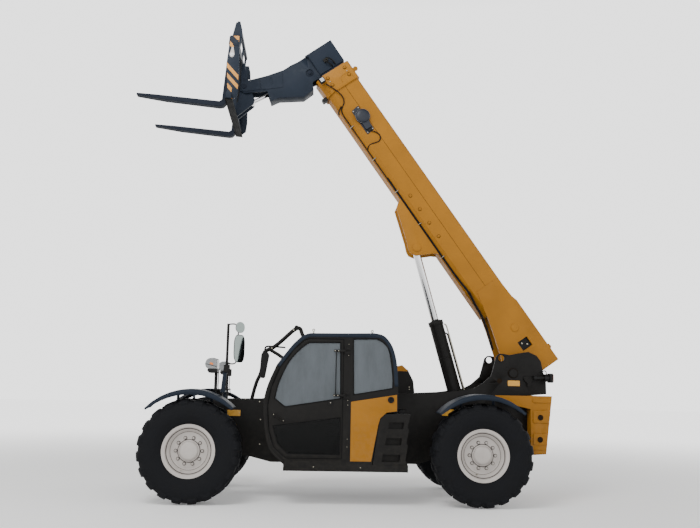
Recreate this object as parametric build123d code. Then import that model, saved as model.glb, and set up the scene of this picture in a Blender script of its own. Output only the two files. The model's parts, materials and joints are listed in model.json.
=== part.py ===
from build123d import *
import math
import os

# Telehandler with a three-section boom, parked with its boom raised.
# Millimetres. Forward is -X, the machine's right is +Y, up is +Z and the ground is z = 0.
# Places are measured along X from the front axle. keep() then moves each piece so that
# the origin is on the ground under the middle of the whole machine.

# --- driving dimensions -------------------------------------------------------
front_axle_place = -2063.2     # of the front axle along X, in the finished model
wheelbase = 3852.0
track = 2020.0                 # between tyre centres

tyre_radius = 675.0            # at the lugs' tips
tyre_width = 444.0
lug_height = 26.0
lug_count = 20                 # on each half of the tread
bead_radius = 318.0
rim_flange_radius = 355.0
rim_half_width = 165.0
axle_z = tyre_radius

kingpin_y = 830.0
kingpin_radius = 38.0
shaft_gap = 0.1                # radial gap of a shaft in its bore
slide_gap = 1.0                # gap of a sliding pad
panel_gap = 6.0                # gap round doors and lids

plate_outer_y = 412.0          # outer face of the frame's side plates
plate_thickness = 28.0
plate_inner_y = plate_outer_y - plate_thickness
plate_bottom = 490.0
axle_pad_z = 790.0             # underside of the plates over the axles

pivot_x = 4445.0               # boom pivot
pivot_z = 1775.0
pivot_pin_radius = 40.0
boom_angle = 54.7              # above level, as parked

boom_width = 420.0             # outer section; heights are above the pivot
boom_top = 690.0
boom_fold = 245.0
boom_bottom = 160.0
boom_bottom_width = 240.0
boom_wall = 10.0
boom_start = 860.0             # stations along the boom, from the pivot
boom_front = 5245.0
collar_start = 4940.0
collar_thickness = 22.0
section_step = 28.0            # from one section's outer face to the next one's
mid_overhang = 25.0            # how far the middle section stands out of the collar
nose_start = 5294.0

lift_eye_u = 2285.0            # lift cylinder's rod pin, in the boom's frame
lift_eye_n = -50.0
lift_base_x = 3792.0           # lift cylinder's base pin
lift_base_z = 1080.0
lift_barrel_radius = 102.0
lift_rod_radius = 57.0
lift_pin_radius = 38.0
lift_eye_radius = 80.0
lift_barrel_length = 1505.0
lift_bore_start = 115.0        # from the base pin
lift_rod_start = 1105.0
lift_ear_inner = 118.0         # of the ears under the boom
lift_ear_outer = 150.0

tilt_base_u = 5435.0           # tilt cylinder's base pin, in the boom's frame
tilt_base_n = 145.0
tilt_barrel_radius = 52.0
tilt_rod_radius = 28.0
tilt_pin_radius = 24.0
tilt_eye_radius = 48.0
tilt_barrel_length = 690.0
tilt_bore_start = 90.0
tilt_rod_start = 290.0
carriage_u = 5797.0            # carriage pivot, in the boom's frame
carriage_n = -822.0
carriage_tilt = 4.7            # fork tips up, as parked
crank_x = 141.0                # tilt rod's pin from the carriage pivot
crank_z = -203.0

cab_left = -1130.0             # outer face of the door side
cab_right = -440.0
cab_wall = 42.0
glass = 6.0
sill_bottom = 444.0
sill_top = 534.0

# --- helpers ------------------------------------------------------------------


def across(points, low_y, high_y):
    """A side-view outline of (x, z) points, carried from low_y to high_y."""
    sketch = Polygon(*points, align=None)
    return Pos(0, high_y, 0) * extrude(Plane.XZ * sketch, amount=high_y - low_y, dir=(0, -1, 0))


def block(low, high):
    """A block between two corners."""
    size = [high[i] - low[i] for i in range(3)]
    middle = [(high[i] + low[i]) / 2 for i in range(3)]
    return Pos(*middle) * Box(*size)


def bar(start, end, radius):
    """A round bar between two points."""
    plane = Plane(origin=start, z_dir=Vector(*end) - Vector(*start))
    length = (Vector(*end) - Vector(*start)).length
    return plane * Cylinder(radius, length, align=(Align.CENTER, Align.CENTER, Align.MIN))


def flat_bar(start, end, radius, sides=16):
    """A bar with flat sides between two points, its corners at the radius."""
    length = (Vector(*end) - Vector(*start)).length
    plane = Plane(origin=start, z_dir=Vector(*end) - Vector(*start))
    return extrude(plane * RegularPolygon(radius, sides), amount=length, dir=plane.z_dir)


def flat_bore(start, end, radius, sides=16):
    """The hole that a round or flat-sided shaft turns in, its flats at the radius."""
    return flat_bar(start, end, radius / math.cos(math.pi / sides), sides)


def arc_points(radius, start, end, steps):
    """Points (x, z) on an arc about the origin, its angles measured forward from straight up."""
    angles = [math.radians(start + (end - start) * index / steps) for index in range(steps + 1)]
    return [(-radius * math.sin(angle), radius * math.cos(angle)) for angle in angles]


def cross_bar(x, z, radius, low_y, high_y):
    """A round bar along Y."""
    return bar((x, low_y, z), (x, high_y, z), radius)


def tube_run(points, radius):
    """A thin tube with flat sides along straight runs, mitred at its corners."""
    path = Polyline(*points)
    plane = Plane(origin=points[0], z_dir=path % 0)
    return sweep(plane * RegularPolygon(radius, tube_sides), path=path, transition=Transition.RIGHT)


tube_sides = 8                 # of thin tubes


def faceted(profile, sides):
    """A body about the Y axis with flat sides, from a profile of (radius to the flats, y).

    The profile is closed, or it starts and ends on the axis, and runs either way round."""
    corner = 1 / math.cos(math.pi / sides)
    steps = zip(profile, profile[1:] + profile[:1])
    if sum(radius * next_y - next_radius * y for (radius, y), (next_radius, next_y) in steps) < 0:
        profile = profile[::-1]

    def point(radius, y, index):
        angle = 2 * math.pi * index / sides
        return Vector(radius * corner * math.sin(angle), y, radius * corner * math.cos(angle))

    faces = []
    for (radius, y), (next_radius, next_y) in zip(profile, profile[1:] + profile[:1]):
        if radius == 0 and next_radius == 0:
            continue
        if radius == 0 or next_radius == 0:
            ring = [point(max(radius, next_radius), y, index) for index in range(sides)]
            faces.append(Face(Wire.make_polygon(ring)))
            continue
        for index in range(sides):
            corners = [
                point(radius, y, index), point(next_radius, next_y, index),
                point(next_radius, next_y, index + 1), point(radius, y, index + 1),
            ]
            faces.append(Face(Wire.make_polygon(corners)))
    return Solid(Shell(faces))


def in_boom(shape):
    """From the level boom's frame, its pivot at the origin, to the parked place."""
    return Pos(pivot_x, 0, pivot_z) * Rot(0, boom_angle, 0) * shape


def boom_point(u, n):
    """The parked place (x, z) of a point u ahead of the pivot and n above it."""
    angle = math.radians(boom_angle)
    x = pivot_x - u * math.cos(angle) + n * math.sin(angle)
    z = pivot_z + u * math.sin(angle) + n * math.cos(angle)
    return x, z


def boom_side(points, low_y, high_y):
    """A side-view outline of (u, n) points in the level boom's frame."""
    return across([(-u, n) for u, n in points], low_y, high_y)


def boom_cross_bar(u, n, radius, low_y, high_y):
    return cross_bar(-u, n, radius, low_y, high_y)


def section_points(inset):
    """The boom's cross-section in (y, n), moved inwards by inset."""
    half = boom_width / 2 - inset
    top = boom_top - inset
    fold = boom_fold + inset * 0.4
    bottom = boom_bottom + inset
    bottom_half = boom_bottom_width / 2 - inset * 0.6
    return [
        (-half, fold), (-bottom_half, bottom), (bottom_half, bottom),
        (half, fold), (half, top - 28), (half - 28, top),
        (28 - half, top), (-half, top - 28),
    ]


def along_boom(points, start, end):
    """A cross-section of (y, n) points, carried along the level boom."""
    plane = Plane(origin=(-start, 0, 0), x_dir=(0, -1, 0), z_dir=(-1, 0, 0))
    sketch = Polygon(*[(-y, n) for y, n in points], align=None)
    return extrude(plane * sketch, amount=end - start, dir=(-1, 0, 0))


def section_tube(inset, wall, start, end):
    """One hollow boom section, open at both ends."""
    return along_boom(section_points(inset), start, end) - along_boom(
        section_points(inset + wall), start - 1, end + 1
    )


def in_carriage(shape):
    """From the level carriage's frame, its pivot at the origin, to the parked place."""
    x, z = boom_point(carriage_u, carriage_n)
    return Pos(x, 0, z) * Rot(0, carriage_tilt, 0) * shape


def carriage_point(x, z):
    angle = math.radians(carriage_tilt)
    pivot = boom_point(carriage_u, carriage_n)
    return (
        pivot[0] + x * math.cos(angle) + z * math.sin(angle),
        pivot[1] - x * math.sin(angle) + z * math.cos(angle),
    )


def mirrored(shape):
    """The same piece on the other side of the machine."""
    return mirror(shape, about=Plane.XZ)


def place_cylinder(shape, base, tip):
    """From a cylinder along +Z at the origin to its parked place between two pins."""
    angle = math.degrees(math.atan2(tip[0] - base[0], tip[1] - base[1]))
    return Pos(base[0], 0, base[1]) * Rot(0, angle, 0) * shape


parts = {}


def keep(name, *shapes):
    """Files one node, moved to its place along X."""
    solids = []
    for shape in shapes:
        solids += (Pos(front_axle_place, 0, 0) * shape).solids()
    parts[name] = solids[0] if len(solids) == 1 else Compound(children=solids)


# --- wheels -------------------------------------------------------------------

tread_radius = tyre_radius - lug_height
half_width = tyre_width / 2
bead_y = rim_half_width - 15
wheel_y = track / 2
wheel_sides = 2 * lug_count
# Radius to the flats, then distance from the tyre's middle plane.
tyre_profile = [
    (bead_radius, -bead_y), (500, -half_width), (600, 20 - half_width), (tread_radius, -bead_y),
    (tread_radius, bead_y), (600, half_width - 20), (500, half_width), (bead_radius, bead_y),
]
lug_inner_half = 34.0          # half lengths of a lug along the tread
lug_outer_half = 46.0
lug_start = 14.0
lug_end = half_width - 24


def make_tyre():
    """Tyre about the Y axis: a flat-sided carcass with two rows of lugs."""
    body = faceted(tyre_profile, wheel_sides)
    base = tread_radius - 60
    lug_top = math.sqrt(tyre_radius**2 - lug_outer_half**2)
    for side in (-1, 1):
        outline = Polygon(
            (-lug_inner_half, lug_start * side), (-lug_outer_half, lug_end * side),
            (lug_outer_half, lug_end * side), (lug_inner_half, lug_start * side),
            align=None,
        )
        lug = extrude(Pos(0, 0, base) * outline, amount=lug_top - base, dir=(0, 0, 1))
        for index in range(lug_count):
            turn = 360.0 / lug_count * (index + (0.25 if side > 0 else 0.75))
            body += Rot(0, turn, 0) * lug
    return body


def make_rim(side):
    """Wheel about the Y axis with its dished face on the given side."""
    flange = [
        (bead_radius - rim_wall, 120), (rim_flange_radius, rim_half_width), (bead_radius, bead_y),
        (bead_radius, -bead_y), (rim_flange_radius, -rim_half_width), (bead_radius - rim_wall, -bead_y),
    ]
    bore = spindle_radius + shaft_gap
    edge = bead_radius - rim_wall + 3
    disc = [
        (0, 130), (125, 130), (140, 76), (245, 70), (edge, 118), (edge, 62), (bore, 40), (bore, 96), (0, 96),
    ]
    rim = faceted(flange, wheel_sides) + faceted(disc, lug_count)
    return rim if side > 0 else mirrored(rim)


rim_wall = 18.0
spindle_radius = 62.0
tyre_shape = make_tyre()

# Yokes at the axle's ends hold the kingpins, and the knuckles turn in them.
yoke_inner = 160.0             # half height between the yoke's arms
yoke_outer = 192.0
yoke_plate_y = 700.0


def make_axle(x):
    """Axle with a central gear housing, two tubes and a yoke at each end."""
    half = [(70, yoke_plate_y), (95, 300), (185, 130)]
    housing = [(0, yoke_plate_y)] + half + [(radius, -y) for radius, y in reversed(half)] + [(0, -yoke_plate_y)]
    axle = Pos(x, 0, axle_z) * faceted(housing, 12)
    for side in (-1, 1):
        low_y = plate_inner_y - 20
        high_y = plate_outer_y + 20
        pad = block((x - 120, low_y, axle_z), (x + 120, high_y, axle_pad_z))
        plate = block(
            (x - 50, yoke_plate_y - 10, axle_z - yoke_outer),
            (x + 50, yoke_plate_y + 30, axle_z + yoke_outer),
        )
        yoke = plate
        for sign in (-1, 1):
            low_z = axle_z + sign * (yoke_inner + yoke_outer) / 2 - (yoke_outer - yoke_inner) / 2
            arm = block((x - 50, yoke_plate_y, low_z), (x + 50, kingpin_y, low_z + yoke_outer - yoke_inner))
            arm += flat_bar((x, kingpin_y, low_z), (x, kingpin_y, low_z + yoke_outer - yoke_inner), 62, 12)
            yoke += arm
        yoke -= flat_bore(
            (x, kingpin_y, axle_z - yoke_outer - 1),
            (x, kingpin_y, axle_z + yoke_outer + 1),
            kingpin_radius + shaft_gap,
            12,
        )
        piece = pad + yoke
        axle += piece if side > 0 else mirrored(piece)
    return axle


stay_x = 225.0                 # fender stay, ahead of and behind the kingpin
stay_y = 756.0
stay_width = 36.0


def make_knuckle():
    """Right-hand knuckle about its axle's centre line: kingpins, spindle and stay arms."""
    knuckle = bar((0, kingpin_y, -yoke_outer), (0, kingpin_y, yoke_outer), kingpin_radius)
    knuckle += block((-62, kingpin_y - 45, 2 - yoke_inner), (62, kingpin_y + 40, yoke_inner - 2))
    knuckle += bar((0, kingpin_y, 0), (0, wheel_y + 92, 0), spindle_radius)
    for sign in (-1, 1):
        knuckle += block(
            (min(0, sign * (stay_x + 18)), kingpin_y - 34, 20), (max(0, sign * (stay_x + 18)), kingpin_y - 8, 70)
        )
    return knuckle


fender_thickness = 8.0
fender_inner_y = 850.0
fender_outer_y = 1228.0
fender_radius = 795.0
fender_lip = 30.0              # depth of the rolled outer edge
fender_front = 47.0            # degrees ahead of and behind straight up
fender_back = -45.0
fender_facets = 10


def make_fender():
    """Right-hand fender about the axle's centre: a curved band with a rolled edge, on two stays."""
    outer_arc = arc_points(fender_radius, fender_front, fender_back, fender_facets)
    inner_arc = arc_points(fender_radius - fender_thickness, fender_back, fender_front, fender_facets)
    lip_arc = arc_points(fender_radius - fender_lip, fender_back, fender_front, fender_facets)
    band = across(outer_arc + inner_arc, fender_inner_y, fender_outer_y)
    band += across(outer_arc + lip_arc, fender_outer_y - fender_thickness, fender_outer_y)
    under = across([(0, 0)] + arc_points(fender_radius - fender_thickness / 2, 40, -40, 8), 0, 2000)
    for sign in (-1, 1):
        x = sign * stay_x
        low_x = x - stay_width / 2
        high_x = x + stay_width / 2
        band += block((low_x, stay_y, 60), (high_x, stay_y + 12, 700)) + block(
            (low_x, stay_y, 70), (high_x, kingpin_y - 8, 82)
        )
        top = block((low_x, stay_y, 690), (high_x, 1150, 900)) & under
        top -= block((low_x - 1, stay_y + 12, 600), (high_x + 1, 1200, 738))
        band += top
    return band


knuckle_shape = make_knuckle()
fender_shape = make_fender()
for end_name, axle_x in (("front", 0.0), ("rear", wheelbase)):
    keep(end_name + "_axle", make_axle(axle_x))
    for side_name, side in (("left", -1), ("right", 1)):
        corner = end_name + "_" + side_name
        centre = Pos(axle_x, side * wheel_y, axle_z)
        carrier = Pos(axle_x, 0, axle_z)
        keep("tyre_" + corner, centre * (tyre_shape if side > 0 else mirrored(tyre_shape)))
        keep("rim_" + corner, centre * make_rim(side))
        keep("knuckle_" + corner, carrier * (knuckle_shape if side > 0 else mirrored(knuckle_shape)))
        keep("fender_" + corner, carrier * (fender_shape if side > 0 else mirrored(fender_shape)))

# --- main frame ---------------------------------------------------------------

notch = 150.0                  # half length of the notch over each axle
plate_points = [
    (-560, 1000), (-560, 840), (-470, 760), (-notch, 700), (-notch, axle_pad_z), (notch, axle_pad_z),
    (notch, 600), (713, 569), (1031, plate_bottom), (3080, plate_bottom), (3430, 600),
    (wheelbase - notch, 700), (wheelbase - notch, axle_pad_z), (wheelbase + notch, axle_pad_z),
    (wheelbase + notch, 760), (4640, 760), (4640, 1462), (4922, 1488), (4919, 1676), (4883, 1791),
    (4849, 1952), (4790, 2031), (4673, 2084), (4597, 2074), (4390, 2033), (4310, 2050),
    (4250, 2050), (4205, 2010), (4150, 1806), (4123, 1728), (3997, 1617), (3865, 1546),
    (3487, 1490), (2970, 1461), (1100, 1400), (833, 1346), (345, 1337), (100, 1320), (-300, 1230),
]
plate = across(plate_points, plate_inner_y, plate_outer_y)
for x, z, radius in ((4277, 1986, 46), (4248, 1663, 36), (pivot_x, pivot_z, pivot_pin_radius + shaft_gap)):
    plate -= cross_bar(x, z, radius, plate_inner_y - 1, plate_outer_y + 1)
plate -= cross_bar(lift_base_x, lift_base_z, lift_pin_radius + shaft_gap, plate_inner_y - 1, plate_outer_y + 1)
keep("frame_side_plates", plate, mirrored(plate))

belly = across(
    [(713, 569), (1031, plate_bottom), (3080, plate_bottom), (3080, plate_bottom + 16), (1035, plate_bottom + 16),
     (717, 585)],
    -plate_inner_y, plate_inner_y,
)
front_tube = cross_bar(-420, 900, 75, -plate_inner_y, plate_inner_y)
middle_box = block((600, -plate_inner_y, 860), (760, plate_inner_y, 1000))
lift_pin = cross_bar(lift_base_x, lift_base_z, lift_pin_radius, -plate_outer_y - 10, plate_outer_y + 10)
rear_box = block((4460, -plate_inner_y, 800), (4640, plate_inner_y, 1100))
pivot_pin = cross_bar(pivot_x, pivot_z, pivot_pin_radius, -plate_outer_y - 14, plate_outer_y + 14)
for side in (-1, 1):
    head = plate_outer_y + 14
    pivot_pin += cross_bar(pivot_x, pivot_z, 62, min(side * plate_outer_y, side * head), max(side * plate_outer_y, side * head))
keep("frame_crossmembers", belly, front_tube, middle_box, lift_pin, rear_box, pivot_pin)

arch_radius = 745.0            # wheel-arch edge of the counterweight
weight_side = across(
    [(4180, 1460), (4190, 1380), (4640, 1280), (4640, 650), (4851, 665), (4947, 1463)], plate_outer_y, 600
)
weight_side &= Pos(0, 0, 650) * extrude(
    Polygon((4180, plate_outer_y), (4180, 450), (4640, 600), (4990, 600), (4990, plate_outer_y), align=None),
    amount=900, dir=(0, 0, 1)
)
weight_side -= cross_bar(wheelbase, axle_z, arch_radius, plate_outer_y - 1, 700)
weight = across([(4640, 1460), (4640, 650), (4851, 665), (4947, 1460)], -600, 600)
weight += weight_side
weight += mirrored(weight_side)
for z in (1180, 880):
    weight -= cross_bar(4800, z, 30, -601, -540)
    weight -= cross_bar(4800, z, 30, 540, 601)
keep("counterweight", weight)

# --- engine side --------------------------------------------------------------

pod_inner_y = 452.0
pod_outer_y = 1130.0
pod_wall = 18.0
bay_front = 980.0
bay_bottom = 560.0
bay_tyre_gap = 69.0            # from the bay to the rear tyre
bay_rear = wheelbase - tyre_radius - bay_tyre_gap
bay = across(
    [(bay_front, bay_bottom), (bay_front, 1172), (bay_rear, 1456), (bay_rear - 28, 1300), (bay_rear - 68, bay_bottom)],
    plate_outer_y, pod_outer_y,
)
bay -= across(
    [(bay_front + pod_wall, bay_bottom + pod_wall), (bay_front + pod_wall, 1300), (bay_rear - 18, 1600),
     (bay_rear - 48, 1300), (bay_rear - 86, bay_bottom + pod_wall)],
    pod_inner_y + pod_wall, pod_outer_y - pod_wall,
)
lid_axis_x = bay_rear + 22.0
lid_axis_z = 1438.0
lid_pin_radius = 7.0
lid_knuckle_radius = 15.0
lid_hinge_half = 30.0
lid_hinges_y = (560.0, 1020.0)
for index in range(6):
    slot_x = bay_rear - 548 + 70 * index
    bay -= block((slot_x, pod_outer_y - pod_wall - 1, 720), (slot_x + 26, pod_outer_y + 1, 1180))
for y in lid_hinges_y:
    bay += cross_bar(lid_axis_x, lid_axis_z, lid_pin_radius, y - lid_hinge_half - 24, y + lid_hinge_half + 24)
    for low_y in (y - lid_hinge_half - 24, y + lid_hinge_half + 0.3):
        bay += cross_bar(lid_axis_x, lid_axis_z, lid_knuckle_radius, low_y, low_y + 23.7)
        bay += block((bay_rear - 18, low_y, lid_axis_z - 13), (lid_axis_x, low_y + 23.7, lid_axis_z + 8))
keep("engine_bay", bay)
keep("engine_block", block((1500, 540, bay_bottom + pod_wall), (bay_rear - 688, 1050, 1240)))
lid_points = [
    (bay_front, 1178), (1060, 1300), (bay_rear - 808, 1570), (bay_rear - 408, 1790), (bay_rear - 238, 1868),
    (bay_rear - 158, 1885), (bay_rear - 78, 1814), (bay_rear + 7, 1645), (bay_rear + 26, 1465),
]
lid = across(lid_points, pod_inner_y, pod_outer_y)
lid -= across(
    [(1010, 1100), (1080, 1282), (bay_rear - 802, 1550), (bay_rear - 400, 1770), (bay_rear - 234, 1847),
     (bay_rear - 164, 1862), (bay_rear - 96, 1804), (bay_rear - 12, 1640), (bay_rear + 6, 1400)],
    pod_inner_y + pod_wall, pod_outer_y - pod_wall,
)
for y in lid_hinges_y:
    lug = cross_bar(lid_axis_x, lid_axis_z, lid_knuckle_radius, y - lid_hinge_half, y + lid_hinge_half)
    lug += block(
        (lid_axis_x - 6, y - lid_hinge_half, lid_axis_z), (lid_axis_x + 3, y + lid_hinge_half, 1480)
    )
    lug -= cross_bar(lid_axis_x, lid_axis_z, lid_pin_radius + shaft_gap, 400, 1200)
    lid += lug
# Cooling slots through the lid's outer wall: low_x and its height above the split line's start.
slot_size = (300.0, 22.0)
for index in range(5):
    slot_z = 1640 - 48 * index
    low_x = bay_rear - 488
    lid -= block((low_x, pod_outer_y - pod_wall - 1, slot_z), (low_x + slot_size[0], pod_outer_y + 1, slot_z + slot_size[1]))
keep("engine_hood", lid)

# --- cab ----------------------------------------------------------------------

# The cab stands midway between the axles. Its points are measured with the middle here.
cab_middle = 1926.0


def in_cab(shape):
    return Pos(wheelbase / 2 - cab_middle, 0, 0) * shape


cab_points = [
    (1223, sill_top), (1053, 702), (978, 944), (949, 1272), (991, 1522), (1107, 1808), (1285, 2047),
    (1434, 2195), (1526, 2230), (2404, 2250), (2524, 2219), (2611, 2126), (2664, 2009), (2700, 1841),
    (2721, 1555), (2724, 1222), (2572, 1210), (2488, 1135), (2464, 1052), (2385, sill_top),
]
cab_outline = Polygon(*cab_points, align=None)
cab_hollow = offset(cab_outline, amount=-cab_wall, kind=Kind.INTERSECTION)
inner_left = cab_left + cab_wall
inner_right = cab_right - cab_wall


def cab_slab(sketch, low_y, high_y):
    return Pos(0, high_y, 0) * extrude(Plane.XZ * sketch, amount=high_y - low_y, dir=(0, -1, 0))


shell = cab_slab(cab_outline, cab_left, cab_right) - cab_slab(cab_hollow, inner_left, inner_right)
door_points = [
    (1262, 604), (1098, 740), (1028, 956), (1001, 1272), (1041, 1510), (1152, 1785), (1322, 2012),
    (1462, 2140), (1530, 2164), (1988, 2168), (1988, 604),
]
upper_door_glass = [
    (1080, 1367), (1132, 1591), (1258, 1861), (1405, 2032), (1521, 2120), (1954, 2129), (1969, 1374), (1225, 1253),
]
lower_door_glass = [(1069, 1020), (1966, 1144), (1966, 651), (1275, 656), (1143, 780)]
quarter_glass = [
    (2106, 2180), (2440, 2188), (2545, 2120), (2610, 2009), (2655, 1722), (2660, 1521), (2121, 1424),
]
side_panel_points = [
    (2097, 1344), (2707, 1446), (2709, 1230), (2572, 1210), (2488, 1135), (2464, 1052), (2375, 573), (2099, 569),
]
door_opening = across(door_points, cab_left - 1, inner_left + 1)
quarter_opening = across(quarter_glass, cab_left - 1, inner_left + 1)
side_panel = across(side_panel_points, cab_left, inner_left)
side_panel -= block((2000, cab_left - 1, 500), (2800, inner_left + 1, sill_top + cab_wall))
right_opening = across(
    [(1090, 1180), (1135, 1560), (1250, 1830), (1400, 2010), (1530, 2100), (2400, 2110), (2540, 1990), (2600, 1560),
     (2600, 1180)],
    inner_right - 1, cab_right + 1,
)
front_opening = block((900, inner_left + 20, 800), (1420, inner_right - 20, 2090))
rear_opening = block((2600, inner_left + 20, 1500), (2800, inner_right - 20, 2050))
roof_box = block((1440, cab_left, 2192), (2590, cab_right, 2300))
floor_box = block((1180, cab_left, sill_top), (2420, cab_right, sill_top + cab_wall))

hinge_x = 2010.0
hinge_y = cab_left - 16.0
hinge_radius = 13.0
hinge_pin_radius = 6.0
hinge_half = 14.0              # half height of the door's knuckle
hinge_heights = (2010.0, 1423.0)


def upright(x, y, radius, low_z, high_z):
    return bar((x, y, low_z), (x, y, high_z), radius)


door_hinges = []
frame_hinges = []
for z in hinge_heights:
    low_z = z - hinge_half
    high_z = z + hinge_half
    strap = block((1860, hinge_y - 6, low_z), (1978, cab_left, high_z))
    strap += block((1970, hinge_y - 6, low_z), (hinge_x, hinge_y + 12, high_z))
    strap += upright(hinge_x, hinge_y, hinge_radius, low_z, high_z)
    strap -= upright(hinge_x, hinge_y, hinge_pin_radius + shaft_gap, low_z - 1, high_z + 1)
    door_hinges.append(strap)
    fixed = upright(hinge_x, hinge_y, hinge_pin_radius, low_z - 30, high_z + 30)
    for ends in ((low_z - 30, low_z - 0.3), (high_z + 0.3, high_z + 30)):
        fixed += upright(hinge_x, hinge_y, hinge_radius, *ends)
        fixed += block((hinge_x, hinge_y - 6, ends[0]), (hinge_x + 66, cab_left, ends[1]))
    frame_hinges.append(fixed)

roof = shell & roof_box
floor = shell & floor_box
frame = shell - door_opening - quarter_opening - side_panel - right_opening - front_opening - rear_opening
frame = frame - roof_box - floor_box
for fixed in frame_hinges:
    frame += fixed
keep("cab_frame", in_cab(frame))
keep("cab_roof", in_cab(roof))
keep("cab_floor", in_cab(floor))
keep("cab_side_panel", in_cab(side_panel))

pane_band = cab_slab(offset(cab_outline, amount=-14, kind=Kind.INTERSECTION), cab_left, cab_right)
pane_band -= cab_slab(offset(cab_outline, amount=-14 - glass, kind=Kind.INTERSECTION), cab_left, cab_right)
windscreen = pane_band & front_opening
rear_pane = pane_band & rear_opening
quarter_pane = across(quarter_glass, cab_left + 14, cab_left + 14 + glass)
right_pane = right_opening & block((0, cab_right - 14 - glass, 0), (4000, cab_right - 14, 3000))
keep("cab_glass", *[in_cab(pane) for pane in (windscreen, rear_pane, quarter_pane, right_pane)])

door_sketch = offset(Polygon(*door_points, align=None), amount=-panel_gap, kind=Kind.INTERSECTION)
door = cab_slab(door_sketch, cab_left, inner_left)
door -= across(upper_door_glass, cab_left - 1, inner_left + 1)
door -= across(lower_door_glass, cab_left - 1, inner_left + 1)
handle = tube_run([(1085, cab_left + 4, 1165), (1085, cab_left - 40, 1160), (1215, cab_left - 40, 1085), (1215, cab_left + 4, 1080)], 11)
door += handle
for strap in door_hinges:
    door += strap
keep("cab_door", in_cab(door))
keep(
    "door_glass",
    in_cab(across(upper_door_glass, cab_left + 14, cab_left + 14 + glass)),
    in_cab(across(lower_door_glass, cab_left + 14, cab_left + 14 + glass)),
)

floor_top = sill_top + cab_wall
seat_y = (cab_left + cab_right) / 2
seat = block((1900, seat_y - 180, floor_top), (2240, seat_y + 180, 800))
seat += block((1780, seat_y - 250, 800), (2330, seat_y + 250, 960))
seat += across([(2250, 950), (2330, 950), (2480, 1620), (2390, 1640)], seat_y - 240, seat_y + 240)
keep("seat", in_cab(seat))
column = block((1290, seat_y - 60, floor_top), (1360, seat_y + 60, 1120))
column += bar((1330, seat_y, 1100), (1428, seat_y, 1345), 34)
wheel_plane = Plane(origin=(1428, seat_y, 1345), z_dir=(130, 0, 250))
rim_ring = [(200, -12), (200, 12), (174, 12), (174, -12)]
column += wheel_plane * Rot(90, 0, 0) * faceted(rim_ring, 20)
column += wheel_plane * Box(370, 34, 16)
keep("steering_column", in_cab(column))

step = block((1228, cab_left, sill_bottom), (2861, -plate_outer_y, sill_top))
step_face = cab_left + 10      # outer face of the ribbed tank behind the cab
step += across(
    [(2396, sill_top), (2487, 1167), (2530, 1190), (2715, 1196), (2893, 1191), (2851, 1020), (2872, 990),
     (2838, 815), (2858, 785), (2826, 600), (2861, sill_top)],
    step_face, -640,
)
# Three footholds: low_x, high_x, low_z, high_z.
for low_x, high_x, low_z, high_z in ((2596, 2806, 1000, 1085), (2556, 2780, 790, 880), (2512, 2760, 575, 668)):
    step -= across(
        [(low_x, low_z), (high_x - 14, low_z), (high_x, high_z), (low_x + 18, high_z)], step_face - 1, step_face + 70
    )
step += cross_bar(2790, 1215, 34, -900, -860)
step -= across(cab_points, cab_left - 1, cab_right + 1)
keep("side_step", in_cab(step))

# --- lamps, mirrors and guard -------------------------------------------------


def headlamp():
    """Right-hand headlamp on its bracket and post."""
    lamp = block((240, plate_inner_y, 1300), (330, plate_outer_y, 1478)) - plate
    lamp += block((240, plate_inner_y, 1452), (330, 780, 1478))
    lamp += block((250, 735, 1460), (290, 765, 1720))
    lamp += block((180, 650, 1700), (290, 850, 1880))
    lamp += block((190, 850, 1740), (270, 900, 1840))
    return lamp


def tail_lamp():
    """Right-hand tail lamp on its stalk."""
    lamp = block((4718, plate_outer_y, 1690), (4758, 520, 1740))
    lamp += block((4718, 480, 1700), (4940, 520, 1730))
    lamp += block((4930, 440, 1650), (4975, 580, 1780))
    return lamp


head_right = headlamp()
tail_right = tail_lamp()
keep("lamps", head_right, mirrored(head_right), tail_right, mirrored(tail_right))

mirror_y = -850.0
mirrors = block((345, -plate_outer_y, 1330), (385, -plate_inner_y, 1456)) - mirrored(plate)
mirrors += block((345, mirror_y - 20, 1432), (385, -plate_inner_y, 1456))
mirrors += flat_bar((365, mirror_y, 1434), (365, mirror_y, 1780), 24, tube_sides)
mirrors += flat_bar((365, mirror_y, 1760), (420, mirror_y - 20, 1800), 14, tube_sides)
mirrors += tube_run([(420, mirror_y - 20, 1790), (420, mirror_y - 20, 2330), (600, -1000, 2310)], 13)
mirrors += flat_bar((420, mirror_y - 20, 2030), (590, -1000, 2030), 8, tube_sides)
mirrors += block((585, -1090, 1850), (615, -910, 2210))
mirrors += Pos(600, -1000, 2310) * Rot(0, 90, 0) * Cylinder(75, 26)
keep("mirrors", mirrors)

guard_y = -398.0
guard = tube_run(
    [(729, guard_y, 1335), (768, guard_y, 1530), (849, guard_y, 1681), (900, guard_y, 2010), (960, guard_y, 2040),
     (1071, guard_y, 2102), (1338, guard_y, 2374), (1409, guard_y - 50, 2280)],
    14,
)
guard += flat_bar((1409, guard_y - 50, 2280), (1450, guard_y - 60, 2215), 14, tube_sides)
guard += block((840, guard_y - 30, 1670), (930, guard_y + 30, 2000))
guard = in_cab(guard - roof - frame) - mirrored(plate)
keep("cab_guard", guard)

# --- boom ---------------------------------------------------------------------

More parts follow.
